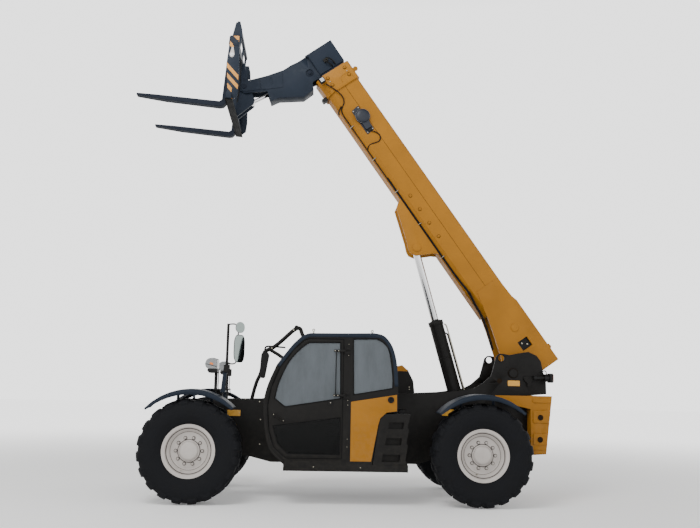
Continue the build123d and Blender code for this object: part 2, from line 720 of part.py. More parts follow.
half_boom = boom_width / 2
outer = section_tube(0, boom_wall, boom_start, boom_front)
collar = section_tube(-collar_thickness, collar_thickness, collar_start, boom_front)
outer += collar
cheek_y = half_boom + 14
tail_points = [
    (1237, 672), (903, 690), (814, 716), (-180, 716), (-235, 690), (-235, 160), (-110, 0), (-70, -88), (20, -112),
    (110, -60), (252, 29), (350, 58), (659, 155), (845, 205), (1237, 300),
]
cheek = boom_side(tail_points, half_boom, cheek_y)
cheek_inner = boom_side(
    [(boom_start, 690), (-235, 690), (-235, 160), (-110, 0), (-70, -88), (20, -112), (110, -60), (252, 29), (350, 58),
     (659, 155), (boom_start, 210)],
    half_boom - 30, half_boom,
)
window = boom_side([(150, 356), (300, 356), (300, 524), (150, 524)], -400, 400)
tail = cheek + cheek_inner
tail = tail + mirrored(tail)
tail += boom_side([(903, 690), (814, 716), (-235, 716), (-235, 690)], -cheek_y, cheek_y)
tail += boom_side([(-235, 690), (-235, 160), (-205, 160), (-205, 690)], -half_boom, half_boom)
tail -= window
tail += boom_cross_bar(0, 0, 112, -plate_inner_y + 5, plate_inner_y - 5)
tail -= boom_cross_bar(0, 0, pivot_pin_radius + shaft_gap, -400, 400)
outer += tail
lift_ear_points = [
    (2078, 95), (1990, 200), (3060, 200), (2983, 97), (2947, 39), (2437, -127), (2330, -172), (2260, -177), (2190, -130),
]
lift_ear = boom_side(lift_ear_points, lift_ear_inner, lift_ear_outer)
lift_ear -= along_boom(section_points(boom_wall / 2), 1900, 3100)
outer += lift_ear
outer += mirrored(lift_ear)
for side in (-1, 1):
    faces = sorted((side * lift_ear_outer, side * (lift_ear_outer + 15)))
    outer += boom_cross_bar(lift_eye_u, lift_eye_n, 62, faces[0], faces[1])
    arch = [(5075, 640), (5100, 590), (5100, 500), (5075, 450), (4990, 450), (4990, 462), (5068, 462), (5088, 504),
            (5088, 586), (5068, 628), (4990, 628), (4990, 640)]
    faces = sorted((side * (half_boom + collar_thickness), side * (half_boom + collar_thickness + 5)))
    outer += boom_side(arch, faces[0], faces[1])
outer += boom_side([(-235, 690), (-60, 716), (20, 745), (5, 790), (-45, 800), (-75, 770)], -16, 16)
outer += boom_side([(5100, boom_top), (5180, boom_top), (5160, 815), (5137, 830), (5114, 815)], -10, 10)
keep("boom_outer", in_boom(outer))

mid_front = boom_front + mid_overhang
mid = section_tube(section_step, boom_wall, boom_start + 140, mid_front)
pad_points = section_points(boom_wall + slide_gap)
for start in (boom_start + 150, boom_front - 330):
    pads = along_boom(pad_points, start, start + 120) - along_boom(section_points(section_step), start - 1, start + 121)
    pads &= along_boom([(-120, 0), (120, 0), (120, 900), (-120, 900)], start - 1, start + 121)
    mid += pads
keep("boom_mid", in_boom(mid))

inner_front = nose_start + 20
inner = section_tube(2 * section_step, boom_wall, boom_start + 280, inner_front)
for start in (boom_start + 290, boom_front - 330):
    pads = along_boom(section_points(section_step + boom_wall + slide_gap), start, start + 120)
    pads -= along_boom(section_points(2 * section_step), start - 1, start + 121)
    pads &= along_boom([(-100, 0), (100, 0), (100, 900), (-100, 900)], start - 1, start + 121)
    inner += pads

nose_plate_y = 118.0
nose_plate_inner = 96.0
nose_points = [
    (5305, 682), (5680, 689), (5674, 84), (5688, -29), (5687, -178), (5714, -291), (5748, -436), (5833, -693),
    (5885, -800), (5870, -880), (5800, -910), (5703, -870), (5555, -599), (5294, 8), (5277, 183),
]
nose_head = boom_side(
    [(nose_start, 682), (5680, 689), (5675, 215), (5640, 250), (5240 + 60, 250)], -172, 172
)
nose_side = boom_side(nose_points, nose_plate_inner, nose_plate_y)
cover_points = [(5376, -607), (5356, -472), (5162, -146), (5175, 40), (5294, 100), (5330, 8), (5560, -560)]
cover_side = boom_side(cover_points, nose_plate_inner, nose_plate_y)
cover_back = boom_side(
    [(5376, -607), (5356, -472), (5162, -146), (5175, 40), (5197, 40), (5184, -140), (5376, -466), (5396, -607)],
    -nose_plate_y, nose_plate_y,
)
front_web = boom_side([(5674, 215), (5674, 84), (5688, -29), (5687, -178), (5667, -178), (5668, -29), (5654, 84), (5654, 215)],
                      -nose_plate_y, nose_plate_y)
nose = nose_head + nose_side + mirrored(nose_side) + cover_side + mirrored(cover_side) + cover_back + front_web
nose += boom_cross_bar(tilt_base_u, tilt_base_n, tilt_pin_radius, -nose_plate_y - 8, nose_plate_y + 8)
nose += boom_cross_bar(carriage_u, carriage_n, 40, -nose_plate_y - 10, nose_plate_y + 10)
keep("boom_inner", in_boom(inner + nose))

# --- cylinders ----------------------------------------------------------------


def make_barrel(length, radius, eye_radius, eye_half, pin_radius):
    """Cylinder barrel along +Z from its base pin's eye, bored for the rod."""
    barrel = cross_bar(0, 0, eye_radius, -eye_half, eye_half)
    barrel += bar((0, 0, eye_radius * 0.5), (0, 0, length), radius)
    barrel += bar((0, 0, length - 60), (0, 0, length), radius + 8)
    barrel -= cross_bar(0, 0, pin_radius + shaft_gap, -400, 400)
    return barrel


def make_rod(start, end, radius, eye_radius, eye_half, pin_radius):
    """Rod along +Z with an eye at its tip."""
    rod = bar((0, 0, start), (0, 0, end - eye_radius * 0.5), radius)
    rod += cross_bar(0, end, eye_radius, -eye_half, eye_half)
    rod -= cross_bar(0, end, pin_radius + shaft_gap, -400, 400)
    return rod


lift_base = (lift_base_x, lift_base_z)
lift_tip = boom_point(lift_eye_u, lift_eye_n)
lift_length = math.dist(lift_base, lift_tip)
lift_barrel = make_barrel(lift_barrel_length, lift_barrel_radius, 108, 105, lift_pin_radius)
lift_barrel -= bar((0, 0, lift_bore_start), (0, 0, lift_barrel_length + 1), lift_rod_radius + shaft_gap)
lift_rod = make_rod(lift_rod_start, lift_length, lift_rod_radius, lift_eye_radius, 92, lift_pin_radius)
keep("lift_barrel", place_cylinder(lift_barrel, lift_base, lift_tip))
keep("lift_rod", place_cylinder(lift_rod, lift_base, lift_tip))

tilt_base = boom_point(tilt_base_u, tilt_base_n)
tilt_tip = carriage_point(crank_x, crank_z)
tilt_length = math.dist(tilt_base, tilt_tip)
tilt_barrel = make_barrel(tilt_barrel_length, tilt_barrel_radius, 56, 60, tilt_pin_radius)
tilt_barrel -= bar((0, 0, tilt_bore_start), (0, 0, tilt_barrel_length + 1), tilt_rod_radius + shaft_gap)
tilt_rod = make_rod(tilt_rod_start, tilt_length, tilt_rod_radius, tilt_eye_radius, 44, tilt_pin_radius)
keep("tilt_barrel", place_cylinder(tilt_barrel, tilt_base, tilt_tip))
keep("tilt_rod", place_cylinder(tilt_rod, tilt_base, tilt_tip))

# --- carriage and forks -------------------------------------------------------

ear_inner = 58.0
ear_outer = 88.0
bar_back = -62.0
bar_front = -139.0
carriage = block((bar_front, -915, -486), (bar_back, 915, -400))
carriage += block((bar_front, -835, 330), (bar_back, 835, 420))
side_plate = across(
    [(-192, 476), (-61, 493), (14, -269), (9, -420), (-60, -486), (-123, -470), (-197, 45)], 800, 832
)
ear = across(
    [(bar_front, 420), (bar_back, 420), (60, 60), (crank_x + 45, crank_z + 25), (crank_x + 30, crank_z - 45),
     (bar_back, -486), (bar_front, -486)],
    ear_inner, ear_outer,
)
ear += cross_bar(0, 0, 78, ear_inner, ear_outer)
ear -= cross_bar(0, 0, 40 + shaft_gap, 0, 200)
carriage += side_plate + mirrored(side_plate) + ear + mirrored(ear)
for y in (-650, -225, 225, 650):
    carriage += block((bar_front, y - 12, -486), (bar_front + 30, y + 12, 770))
carriage += block((bar_front, -662, 740), (bar_front + 40, 662, 783))
keep("carriage", in_carriage(carriage))

fork_y = 700.0
fork_half = 62.0
blade_top = -515.0
blade = across(
    [(-1424, blade_top - 8), (-1424, blade_top - 20), (-1000, blade_top - 50), (-230, blade_top - 60),
     (-170, blade_top - 40), (-140, blade_top), (-140, 500), (-208, 515), (-208, blade_top)],
    -fork_half, fork_half,
)
blade = blade - block((bar_front - 0.5, -80, -700), (-100, 80, -690))
forks = [Pos(0, side * fork_y, 0) * blade for side in (-1, 1)]
keep("forks", *[in_carriage(fork) for fork in forks])

# --- files --------------------------------------------------------------------

os.makedirs("parts", exist_ok=True)
for name, shape in parts.items():
    export_step(shape, "parts/" + name + ".step")
    bounds = shape.bounding_box()
    print(name, len(shape.solids()), [round(v, 1) for v in (*bounds.min, *bounds.max)])
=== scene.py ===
import bmesh
import bpy
import json
import math
import numpy as np
from mathutils import Matrix, Vector


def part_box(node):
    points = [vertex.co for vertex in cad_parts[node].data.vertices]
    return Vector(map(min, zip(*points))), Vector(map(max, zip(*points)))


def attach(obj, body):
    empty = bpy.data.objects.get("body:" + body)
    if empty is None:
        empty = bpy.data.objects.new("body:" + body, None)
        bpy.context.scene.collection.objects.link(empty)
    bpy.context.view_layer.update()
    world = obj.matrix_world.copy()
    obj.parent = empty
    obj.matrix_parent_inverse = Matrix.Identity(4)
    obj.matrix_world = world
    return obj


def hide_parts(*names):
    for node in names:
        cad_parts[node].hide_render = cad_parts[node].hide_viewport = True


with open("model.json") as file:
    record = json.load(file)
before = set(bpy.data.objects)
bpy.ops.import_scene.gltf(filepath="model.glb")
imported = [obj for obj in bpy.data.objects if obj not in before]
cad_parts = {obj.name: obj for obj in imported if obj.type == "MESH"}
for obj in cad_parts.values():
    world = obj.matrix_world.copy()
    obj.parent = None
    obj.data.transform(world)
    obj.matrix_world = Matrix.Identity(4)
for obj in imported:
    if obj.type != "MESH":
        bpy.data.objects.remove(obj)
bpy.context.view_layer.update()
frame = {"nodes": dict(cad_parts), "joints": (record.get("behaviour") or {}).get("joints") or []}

joints = {joint["name"]: joint for joint in frame["joints"]}
nodes = frame["nodes"]
corners = ("front_left", "front_right", "rear_left", "rear_right")

# Values a user may change, in metres unless a note says otherwise.

cameraValues = {
    "place": (-0.511, -11.937, 1.524),
    "yaw": 2.63,            # degrees to the right of +Y
    "pitch": 8.72,          # degrees above level
    "roll": 1.11,           # degrees clockwise
    "lens": 41.55,          # mm on a 36 mm wide sensor
}
lightValues = {
    "wallStrength": 2.3,    # of the bright band round the studio
    "skyStrength": 0.30,    # overhead
    "nearGlow": 0.12,       # of the floor under the machine
    "floorGlow": 1.3,       # of the floor far from the machine
    "keySize": 6.0,
    "keyPower": 900.0,      # watts
    "keyPlace": (-4.0, -7.5, 11.0),
    "keyAim": (0.0, 0.0, 1.6),
}
paintColours = {
    "yellow": "#895b18",
    "black": "#100f0e",
    "blueGrey": "#1a212b",
    "silver": "#a39d98",
    "stripe": "#ad7204",
    "dust": "#8f8574",
}
tyreValues = {
    "roundCount": 480,
    "lugCount": 20,         # on each half of the tread
    "lugHeight": 0.024,
    "lugShare": 0.55,       # share of the pitch that a lug fills
    "lugSkew": 0.20,        # share of a pitch that a lug leans over its length
    "lugEdge": 0.004,       # width of a lug's rounded edge
    "lugFoot": 0.088,       # how far below the tip a lug starts on the shoulder
    "lugFull": 0.060,       # and the depth below the tip from which it is full
    "sectionCount": 97,
}
rimValues = {
    "roundCount": 128,
    "nutCount": 10,
    "nutRing": 0.172,
    "nutSeat": 0.072,       # out from the wheel's middle plane
    "nutRadius": 0.017,
    "nutHeight": 0.026,
    "boxOverFlange": 1.003,  # the solid rim's box against the drawn flange
    "beadDepth": 0.037,     # from the flange's tip down to the tyre's seat
}
fenderValues = {
    "radius": 0.800,        # of the top face, about the tyre's axis
    "frontEnd": 47.5,       # degrees ahead of the top
    "rearEnd": -45.5,
    "skirt": 0.030,         # its least depth
    "skirtGrowth": 0.045,   # how much deeper it is at the middle
    "sheet": 0.003,
}

# Small helpers.


def linearColour(hexText):
    # sRGB hex to linear light
    values = np.array([int(hexText[k:k + 2], 16) for k in (1, 3, 5)]) / 255
    linear = np.where(values <= 0.04045, values / 12.92, ((values + 0.055) / 1.055) ** 2.4)
    return (*linear.tolist(), 1.0)


def addMesh(name, points, faces, material, body, smooth=True):
    mesh = bpy.data.meshes.new(name)
    if isinstance(faces, np.ndarray):
        faces = faces.tolist()
    mesh.from_pydata(np.asarray(points, float).tolist(), [], faces)
    mesh.validate()
    mesh.update()
    if smooth:
        mesh.shade_smooth()
    else:
        mesh.shade_flat()
    mesh.materials.append(material)
    piece = bpy.data.objects.new(name, mesh)
    bpy.context.scene.collection.objects.link(piece)
    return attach(piece, body)


def gridFaces(countU, countV, wrapU=False, wrapV=False):
    # quads of a grid whose points run along v first
    u = np.arange(countU if wrapU else countU - 1)[:, None]
    v = np.arange(countV if wrapV else countV - 1)[None, :]
    nextU = (u + 1) % countU
    nextV = (v + 1) % countV
    quads = np.stack([u * countV + v, nextU * countV + v, nextU * countV + nextV, u * countV + nextV], -1)
    return quads.reshape(-1, 4)


def smoothStep(values, low, high):
    t = np.clip((values - low) / (high - low), 0, 1)
    return t * t * (3 - 2 * t)


def softPower(values, bend):
    # the power of each value's size with its sign kept: a bend under one squares a circle
    return np.sign(values) * np.abs(values) ** bend


def resample(outline, count):
    # points at even steps along an outline
    outline = np.asarray(outline, float)
    steps = np.r_[0, np.cumsum(np.linalg.norm(np.diff(outline, axis=0), axis=1))]
    wanted = np.linspace(0, steps[-1], count)
    return np.stack([np.interp(wanted, steps, outline[:, k]) for k in range(outline.shape[1])], -1)


def rounded(outline, rounds=3):
    # corner cutting: each corner becomes two points at a quarter of its runs
    outline = np.asarray(outline, float)
    for _ in range(rounds):
        start = outline[:-1] * 0.75 + outline[1:] * 0.25
        end = outline[:-1] * 0.25 + outline[1:] * 0.75
        outline = np.vstack(
            [outline[:1], np.stack([start, end], 1).reshape(-1, outline.shape[1]), outline[-1:]]
        )
    return outline


def axisPoints(radius, along, angle, centre):
    # a point at that radius and angle about an axis along Y
    return np.stack([
        centre[0] + radius * np.sin(angle), centre[1] + along, centre[2] + radius * np.cos(angle),
    ], -1)


def addLathe(name, profile, centre, count, material, body, side=1):
    # profile of (radius, y) turned about the Y axis through centre
    profile = np.asarray(profile, float)
    angle = np.linspace(0, 2 * math.pi, count, endpoint=False)[:, None]
    points = axisPoints(profile[None, :, 0], profile[None, :, 1] * side + 0 * angle, angle, centre)
    faces = gridFaces(count, len(profile), wrapU=True)
    if side < 0:
        faces = faces[:, ::-1]
    return addMesh(name, points.reshape(-1, 3), faces, material, body)


def addStuds(name, places, directions, radius, height, material, body, levels, count, smooth):
    # rings of count points about each place, with levels as (share of the height, share of the radius)
    places = np.asarray(places, float).reshape(-1, 3)
    axis = np.asarray(directions, float).reshape(-1, 3)
    axis = axis / np.linalg.norm(axis, axis=1, keepdims=True)
    helper = np.where(np.abs(axis[:, :1]) < 0.9, [[1.0, 0, 0]], [[0, 1.0, 0]])
    across = np.cross(axis, helper)
    across /= np.linalg.norm(across, axis=1, keepdims=True)
    third = np.cross(axis, across)
    angle = np.arange(count) * (2 * math.pi / count)
    around = across[:, None] * np.cos(angle)[None, :, None] + third[:, None] * np.sin(angle)[None, :, None]
    rings = [
        places[:, None] + axis[:, None] * height * level + radius * share * around
        for level, share in levels
    ]
    sides = gridFaces(len(levels), count, wrapV=True)[:, ::-1]
    cap = (len(levels) - 1) * count + np.arange(count)
    faces = []
    for index in range(len(places)):
        base = index * count * len(levels)
        faces += (sides + base).tolist()
        faces.append((cap + base).tolist())
    return addMesh(name, np.stack(rings, 1).reshape(-1, 3), faces, material, body, smooth)


def addBolts(name, places, directions, radius, height, material, body="chassis"):
    # hexagon heads with a chamfered top
    levels = ((0.0, 1.0), (0.8, 1.0), (1.0, 0.86))
    return addStuds(name, places, directions, radius, height, material, body, levels, 6, False)


def addLathes(name, places, directions, radius, height, material, body="chassis"):
    # round studs with a domed tip
    levels = ((0.0, 1.0), (0.85, 1.0), (0.96, 0.8), (1.0, 0.4))
    return addStuds(name, places, directions, radius, height, material, body, levels, 16, True)


def addTube(name, points, radius, material, body, sharp=False):
    # a round hose or bar along the points
    curve = bpy.data.curves.new(name, "CURVE")
    curve.dimensions = "3D"
    curve.bevel_depth = radius
    curve.bevel_resolution = 4
    curve.use_fill_caps = True
    spline = curve.splines.new("POLY" if sharp else "NURBS")
    spline.points.add(len(points) - 1)
    for point, place in zip(spline.points, points):
        point.co = (*place, 1.0)
    if not sharp:
        spline.order_u = 3
        spline.use_endpoint_u = True
        spline.resolution_u = 6
    curve.materials.append(material)
    piece = bpy.data.objects.new(name, curve)
    bpy.context.scene.collection.objects.link(piece)
    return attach(piece, body)


def addPrism(name, outline, thickness, place, material, body, edge=0.0, segments=2):
    # outline points in two directions carried along the third; place maps (a, b, c) arrays to points
    outline = np.asarray(outline, float)
    count = len(outline)
    low = place(outline[:, 0], outline[:, 1], np.full(count, thickness[0]))
    high = place(outline[:, 0], outline[:, 1], np.full(count, thickness[1]))
    sides = [[k, (k + 1) % count, count + (k + 1) % count, count + k] for k in range(count)]
    faces = sides + [list(range(count))[::-1], [count + k for k in range(count)]]
    piece = addMesh(name, np.vstack([low, high]), faces, material, body, smooth=False)
    fixNormals(piece)
    if edge:
        softenEdges(piece, edge, segments, weld=False)
    return piece


def fixNormals(piece):
    work = bmesh.new()
    work.from_mesh(piece.data)
    bmesh.ops.recalc_face_normals(work, faces=work.faces)
    work.to_mesh(piece.data)
    work.free()


def softenEdges(piece, width, segments=2, weld=True):
    if weld:
        merge = piece.modifiers.new("merge", "WELD")
        merge.merge_threshold = 0.00005
    bevel = piece.modifiers.new("edge", "BEVEL")
    bevel.width = width
    bevel.segments = segments
    bevel.limit_method = "ANGLE"
    bevel.angle_limit = math.radians(40)
    bevel.harden_normals = True
    bevel.use_clamp_overlap = True
    piece.data.shade_smooth()
    return piece


# Materials.


def setNode(tree, node, settings=None, links=None):
    # settings by input or by property, and links as input: (node, output)
    for key, value in (settings or {}).items():
        if isinstance(key, int) or key in node.inputs:
            node.inputs[key].default_value = value
        else:
            setattr(node, key, value)
    for key, (source, output) in (links or {}).items():
        tree.links.new(source.outputs[output], node.inputs[key])
    return node


def addNode(tree, kind, settings=None, links=None):
    return setNode(tree, tree.nodes.new("ShaderNode" + kind), settings, links)


def newMaterial(name):
    material = bpy.data.materials.new(name)
    material.use_nodes = True
    tree = material.node_tree
    return material, tree, tree.nodes["Principled BSDF"], addNode(tree, "TexCoord")


def noiseNode(tree, place, sizeMm, detail=4.0, roughness=0.55):
    # noise whose features are about sizeMm across
    settings = {"Scale": 1000.0 / sizeMm, "Detail": detail, "Roughness": roughness}
    return addNode(tree, "TexNoise", settings, {"Vector": (place, "Object")})


def bumpNode(tree, place, sizeMm, detail, strength):
    noise = noiseNode(tree, place, sizeMm, detail)
    return addNode(tree, "Bump", {"Strength": strength, "Distance": 0.001}, {"Height": (noise, "Fac")})


def rampNode(tree, noise, stops):
    ramp = addNode(tree, "ValToRGB", links={"Fac": (noise, "Fac")})
    elements = ramp.color_ramp.elements
    while len(elements) < len(stops):
        elements.new(0.5)
    for element, (at, colour) in zip(elements, stops):
        element.position = at
        element.color = colour
    return ramp


def shadesNode(tree, noise, hexText, stops):
    # shades of one colour over the noise, with stops as (place, factor)
    colour = linearColour(hexText)
    return rampNode(tree, noise, [
        (at, (*[min(1.0, max(0.0, value * factor)) for value in colour[:3]], 1.0)) for at, factor in stops
    ])


def remapNode(tree, source, output, fromLow, fromHigh, toLow=0.0, toHigh=1.0, kind="LINEAR"):
    settings = {
        "From Min": fromLow, "From Max": fromHigh, "To Min": toLow, "To Max": toHigh,
        "interpolation_type": kind,
    }
    return addNode(tree, "MapRange", settings, {"Value": (source, output)})


def paintMaterial(name, hexText, roughness=0.38, coat=0.2, dust=0.5, specular=0.35):
    # sprayed machine paint: slight colour drift, orange peel, dust settled low on the machine
    material, tree, shader, place = newMaterial(name)
    base = shadesNode(tree, noiseNode(tree, place, 420.0, 3.0), hexText, [(0.30, 0.90), (0.70, 1.08)])
    height = addNode(tree, "SeparateXYZ", links={"Vector": (place, "Object")})
    lowness = remapNode(tree, height, "Z", 1.5, 0.2)
    specks = noiseNode(tree, place, 60.0, 8.0, 0.7)
    speckShare = rampNode(tree, specks, [(0.42, (0, 0, 0, 1)), (0.75, (1, 1, 1, 1))])
    dustShare = addNode(
        tree, "Math", {"operation": "MULTIPLY"}, {0: (lowness, "Result"), 1: (speckShare, "Color")},
    )
    dustScaled = addNode(tree, "Math", {"operation": "MULTIPLY", 1: dust * 0.35}, {0: (dustShare, "Value")})
    mixed = addNode(
        tree, "Mix", {"data_type": "RGBA", 7: linearColour(paintColours["dust"])},
        {"Factor": (dustScaled, "Value"), 6: (base, "Color")},
    )
    scuff = noiseNode(tree, place, 90.0, 6.0, 0.65)
    sheen = remapNode(tree, scuff, "Fac", 0.3, 0.75, roughness - 0.06, roughness + 0.12)
    peel = bumpNode(tree, place, 6.0, 2.0, 0.06)
    setNode(
        tree, shader, {"Coat Weight": coat, "Coat Roughness": 0.15, "Specular IOR Level": specular},
        {"Base Color": (mixed, 2), "Roughness": (sheen, "Result"), "Normal": (peel, "Normal")},
    )
    return material


def grainMaterial(name, hexText, roughness, grainMm, strength, drift=0.12, specular=0.5):
    # cast, rubber, plastic or cloth: one colour with a fine bumped grain
    material, tree, shader, place = newMaterial(name)
    broad = noiseNode(tree, place, 160.0, 5.0)
    base = shadesNode(tree, broad, hexText, [(0.3, 1 - drift), (0.7, 1 + drift)])
    rough = remapNode(tree, broad, "Fac", 0.3, 0.7, roughness - 0.05, roughness + 0.08)
    grain = bumpNode(tree, place, grainMm, 3.0, strength)
    setNode(
        tree, shader, {"Specular IOR Level": specular},
        {"Base Color": (base, "Color"), "Roughness": (rough, "Result"), "Normal": (grain, "Normal")},
    )
    return material


def brushedMaterial(name, hexText, roughness, stretch):
    # polished or drawn metal with fine lines along one direction
    material, tree, shader, place = newMaterial(name)
    mapping = addNode(tree, "Mapping", {"Scale": stretch}, {"Vector": (place, "Object")})
    lines = addNode(tree, "TexNoise", {"Scale": 120.0, "Detail": 3.0}, {"Vector": (mapping, "Vector")})
    base = shadesNode(tree, lines, hexText, [(0.3, 0.92), (0.7, 1.05)])
    rough = remapNode(tree, lines, "Fac", 0.3, 0.7, roughness * 0.8, roughness * 1.3)
    setNode(tree, shader, {"Metallic": 1.0}, {"Base Color": (base, "Color"), "Roughness": (rough, "Result")})
    return material


def glassMaterial(name, hexText, alpha, roughness):
    # thin tinted pane with a faint film of dust
    material, tree, shader, place = newMaterial(name)
    film = noiseNode(tree, place, 300.0, 4.0)
    base = shadesNode(tree, film, hexText, [(0.35, 0.92), (0.7, 1.08)])
    rough = remapNode(tree, film, "Fac", 0.3, 0.7, roughness, roughness + 0.05)
    setNode(
        tree, shader, {"Alpha": alpha, "IOR": 1.5}, {
            "Base Color": (base, "Color"), "Roughness": (rough, "Result"),
        },
    )
    return material


def paneMaterial(name, upperHex, lowerHex, splitHeight, alpha):
    # tinted cab glass with dust streaks: a grey painted reflection above the split height, a near-black
    # painted shade of the dark cab below it
    material, tree, shader, place = newMaterial(name)
    height = addNode(tree, "SeparateXYZ", links={"Vector": (place, "Object")})
    upper = remapNode(tree, height, "Z", splitHeight - 0.01, splitHeight + 0.01)
    streaked = addNode(
        tree, "Mapping", {
            "Scale": (1.6, 1.6, 0.5), "Rotation": (0.0, 0.35, 0.0),
        }, {"Vector": (place, "Object")},
    )
    film = addNode(
        tree, "TexNoise", {"Scale": 3.0, "Detail": 5.0, "Roughness": 0.65},
        {"Vector": (streaked, "Vector")},
    )
    dustAndReflection = shadesNode(tree, film, upperHex, [(0.30, 0.82), (0.50, 1.0), (0.72, 1.16)])
    mixed = addNode(
        tree, "Mix", {"data_type": "RGBA", 6: linearColour(lowerHex)}, {
            "Factor": (upper, "Result"), 7: (dustAndReflection, "Color"),
        },
    )
    settings = {"Roughness": 0.10, "Specular IOR Level": 0.10, "Alpha": alpha}
    setNode(tree, shader, settings, {"Base Color": (mixed, 2)})
    return material


yellowPaint = paintMaterial("yellowPaint", paintColours["yellow"], 0.46, coat=0.0, specular=0.10)
blackPaint = paintMaterial("blackPaint", paintColours["black"], 0.48, coat=0.0, dust=0.12, specular=0.13)
bluePaint = paintMaterial("bluePaint", paintColours["blueGrey"], 0.50, coat=0.0, dust=0.1, specular=0.10)
silverPaint = paintMaterial("silverPaint", paintColours["silver"], 0.38, coat=0.1, dust=0.5, specular=0.4)
forkPaint = paintMaterial("forkPaint", "#181d26", 0.62, coat=0.0, dust=0.0, specular=0.08)
sensorPaint = paintMaterial("sensorPaint", "#161b25", 0.45, coat=0.05, dust=0.0, specular=0.25)
stripeYellow = paintMaterial("stripeYellow", paintColours["stripe"], 0.42, coat=0.1, dust=0.0)
yellowPlate = paintMaterial("yellowPlate", "#c08d2e", 0.4, coat=0.1, dust=0.2)
lampShell = grainMaterial("lampShell", "#77797a", 0.25, 4.0, 0.05)
# dark brown: dirt along seams, and painted shade in the rings round the boom's plugs
seamDirtAndShade = grainMaterial("seamDirtAndShade", "#1c130a", 0.8, 2.0, 0.1, specular=0.1)
castBlack = grainMaterial("castBlack", "#131211", 0.62, 3.0, 0.35, specular=0.15)
tyreRubber = grainMaterial("tyreRubber", "#0d0e11", 0.75, 2.0, 0.25, drift=0.25, specular=0.14)
# dark grey for painted shade in the wheel's joints and round its nuts
rimShade = grainMaterial("rimShade", "#3a3634", 0.7, 2.0, 0.1, specular=0.15)
# near black: rubber seals and wipers, and the painted shade under the carriage
sealRubberAndShade = grainMaterial("sealRubberAndShade", "#070707", 0.7, 1.5, 0.15, specular=0.12)
hoseRubber = grainMaterial("hoseRubber", "#070708", 0.6, 2.0, 0.3, specular=0.15)
blackPlastic = grainMaterial("blackPlastic", "#0b0b0c", 0.5, 1.2, 0.12, specular=0.18)
greyPlastic = grainMaterial("greyPlastic", "#3a3b3d", 0.55, 1.2, 0.15)
seatCloth = grainMaterial("seatCloth", "#232429", 0.9, 2.5, 0.6, specular=0.2)
engineCast = grainMaterial("engineCast", "#4a4c4e", 0.6, 4.0, 0.3)
zincBolt = brushedMaterial("zincBolt", "#9a9689", 0.42, (1, 1, 1))
chrome = brushedMaterial("chrome", "#d9d9da", 0.12, (1, 30, 1))
mirrorFace = brushedMaterial("mirrorFace", "#7d8683", 0.06, (1, 1, 1))
# the grey upper part is a painted reflection, the near-black lower part a painted shade
cabGlass = paneMaterial("cabGlass", "#51565a", "#030404", 1.22, 0.90)
lampGlass = glassMaterial("lampGlass", "#dfe3e6", 0.55, 0.08)
amberGlass = glassMaterial("amberGlass", "#e0761b", 0.9, 0.15)
redGlass = glassMaterial("redGlass", "#b01612", 0.92, 0.15)
print("stage: materials")

# Camera, floor and lights.


def makeCamera():
    data = bpy.data.cameras.new("camera")
    data.sensor_width = 36.0
    data.lens = cameraValues["lens"]
    data.clip_end = 200.0
    camera = bpy.data.objects.new("camera", data)
    bpy.context.scene.collection.objects.link(camera)
    yaw, pitch, roll = (math.radians(cameraValues[key]) for key in ("yaw", "pitch", "roll"))
    ahead = Vector((math.sin(yaw) * math.cos(pitch), math.cos(yaw) * math.cos(pitch), math.sin(pitch)))
    right = Vector((math.cos(yaw), -math.sin(yaw), 0.0))
    above = right.cross(ahead)
    turnedRight = right * math.cos(roll) + above * math.sin(roll)
    turnedUp = above * math.cos(roll) - right * math.sin(roll)
    axes = Matrix((turnedRight, turnedUp, -ahead)).transposed().to_4x4()
    camera.matrix_world = Matrix.Translation(cameraValues["place"]) @ axes
    bpy.context.scene.camera = camera


def makeLight(name, place, size, power):
    data = bpy.data.lights.new(name, "AREA")
    data.shape = "DISK"
    data.size = size
    data.energy = power
    light = bpy.data.objects.new(name, data)
    bpy.context.scene.collection.objects.link(light)
    light.location = place
    light.rotation_mode = "QUATERNION"
    light.rotation_quaternion = (Vector(lightValues["keyAim"]) - Vector(place)).to_track_quat("-Z", "Y")


def makeStage():
    material, tree, shader, place = newMaterial("paleFloor")
    away = addNode(tree, "VectorMath", {"operation": "LENGTH"}, {0: (place, "Object")})
    nearGlow, farGlow = lightValues["nearGlow"], lightValues["floorGlow"]
    glow = remapNode(tree, away, "Value", 5.0, 20.0, nearGlow, farGlow, "SMOOTHSTEP")
    settings = {
        "Base Color": linearColour("#f1f1f0"), "Roughness": 0.85, "Emission Color": (1.0, 1.0, 1.0, 1.0),
    }
    setNode(tree, shader, settings, {"Emission Strength": (glow, "Result")})
    mesh = bpy.data.meshes.new("floor")
    reach = 60.0
    floorCorners = [(-reach, -reach, 0), (reach, -reach, 0), (reach, reach, 0), (-reach, reach, 0)]
    mesh.from_pydata(floorCorners, [], [(0, 1, 2, 3)])
    mesh.materials.append(material)
    floor = bpy.data.objects.new("floor", mesh)
    bpy.context.scene.collection.objects.link(floor)
    world = bpy.data.worlds.new("sky")
    world.use_nodes = True
    sky = world.node_tree
    background = sky.nodes["Background"]
    background.inputs["Color"].default_value = (1.0, 1.0, 1.0, 1.0)
    direction = addNode(sky, "TexCoord")
    height = addNode(sky, "SeparateXYZ", links={"Vector": (direction, "Generated")})
    band = remapNode(sky, height, "Z", 0.44, 0.66, lightValues["wallStrength"], lightValues["skyStrength"])
    sky.links.new(band.outputs["Result"], background.inputs["Strength"])
    bpy.context.scene.world = world
    makeLight("keyLight", lightValues["keyPlace"], lightValues["keySize"], lightValues["keyPower"])


makeCamera()
makeStage()
print("stage: camera and stage")

# The CAD nodes that stay get their finish and softened edges.

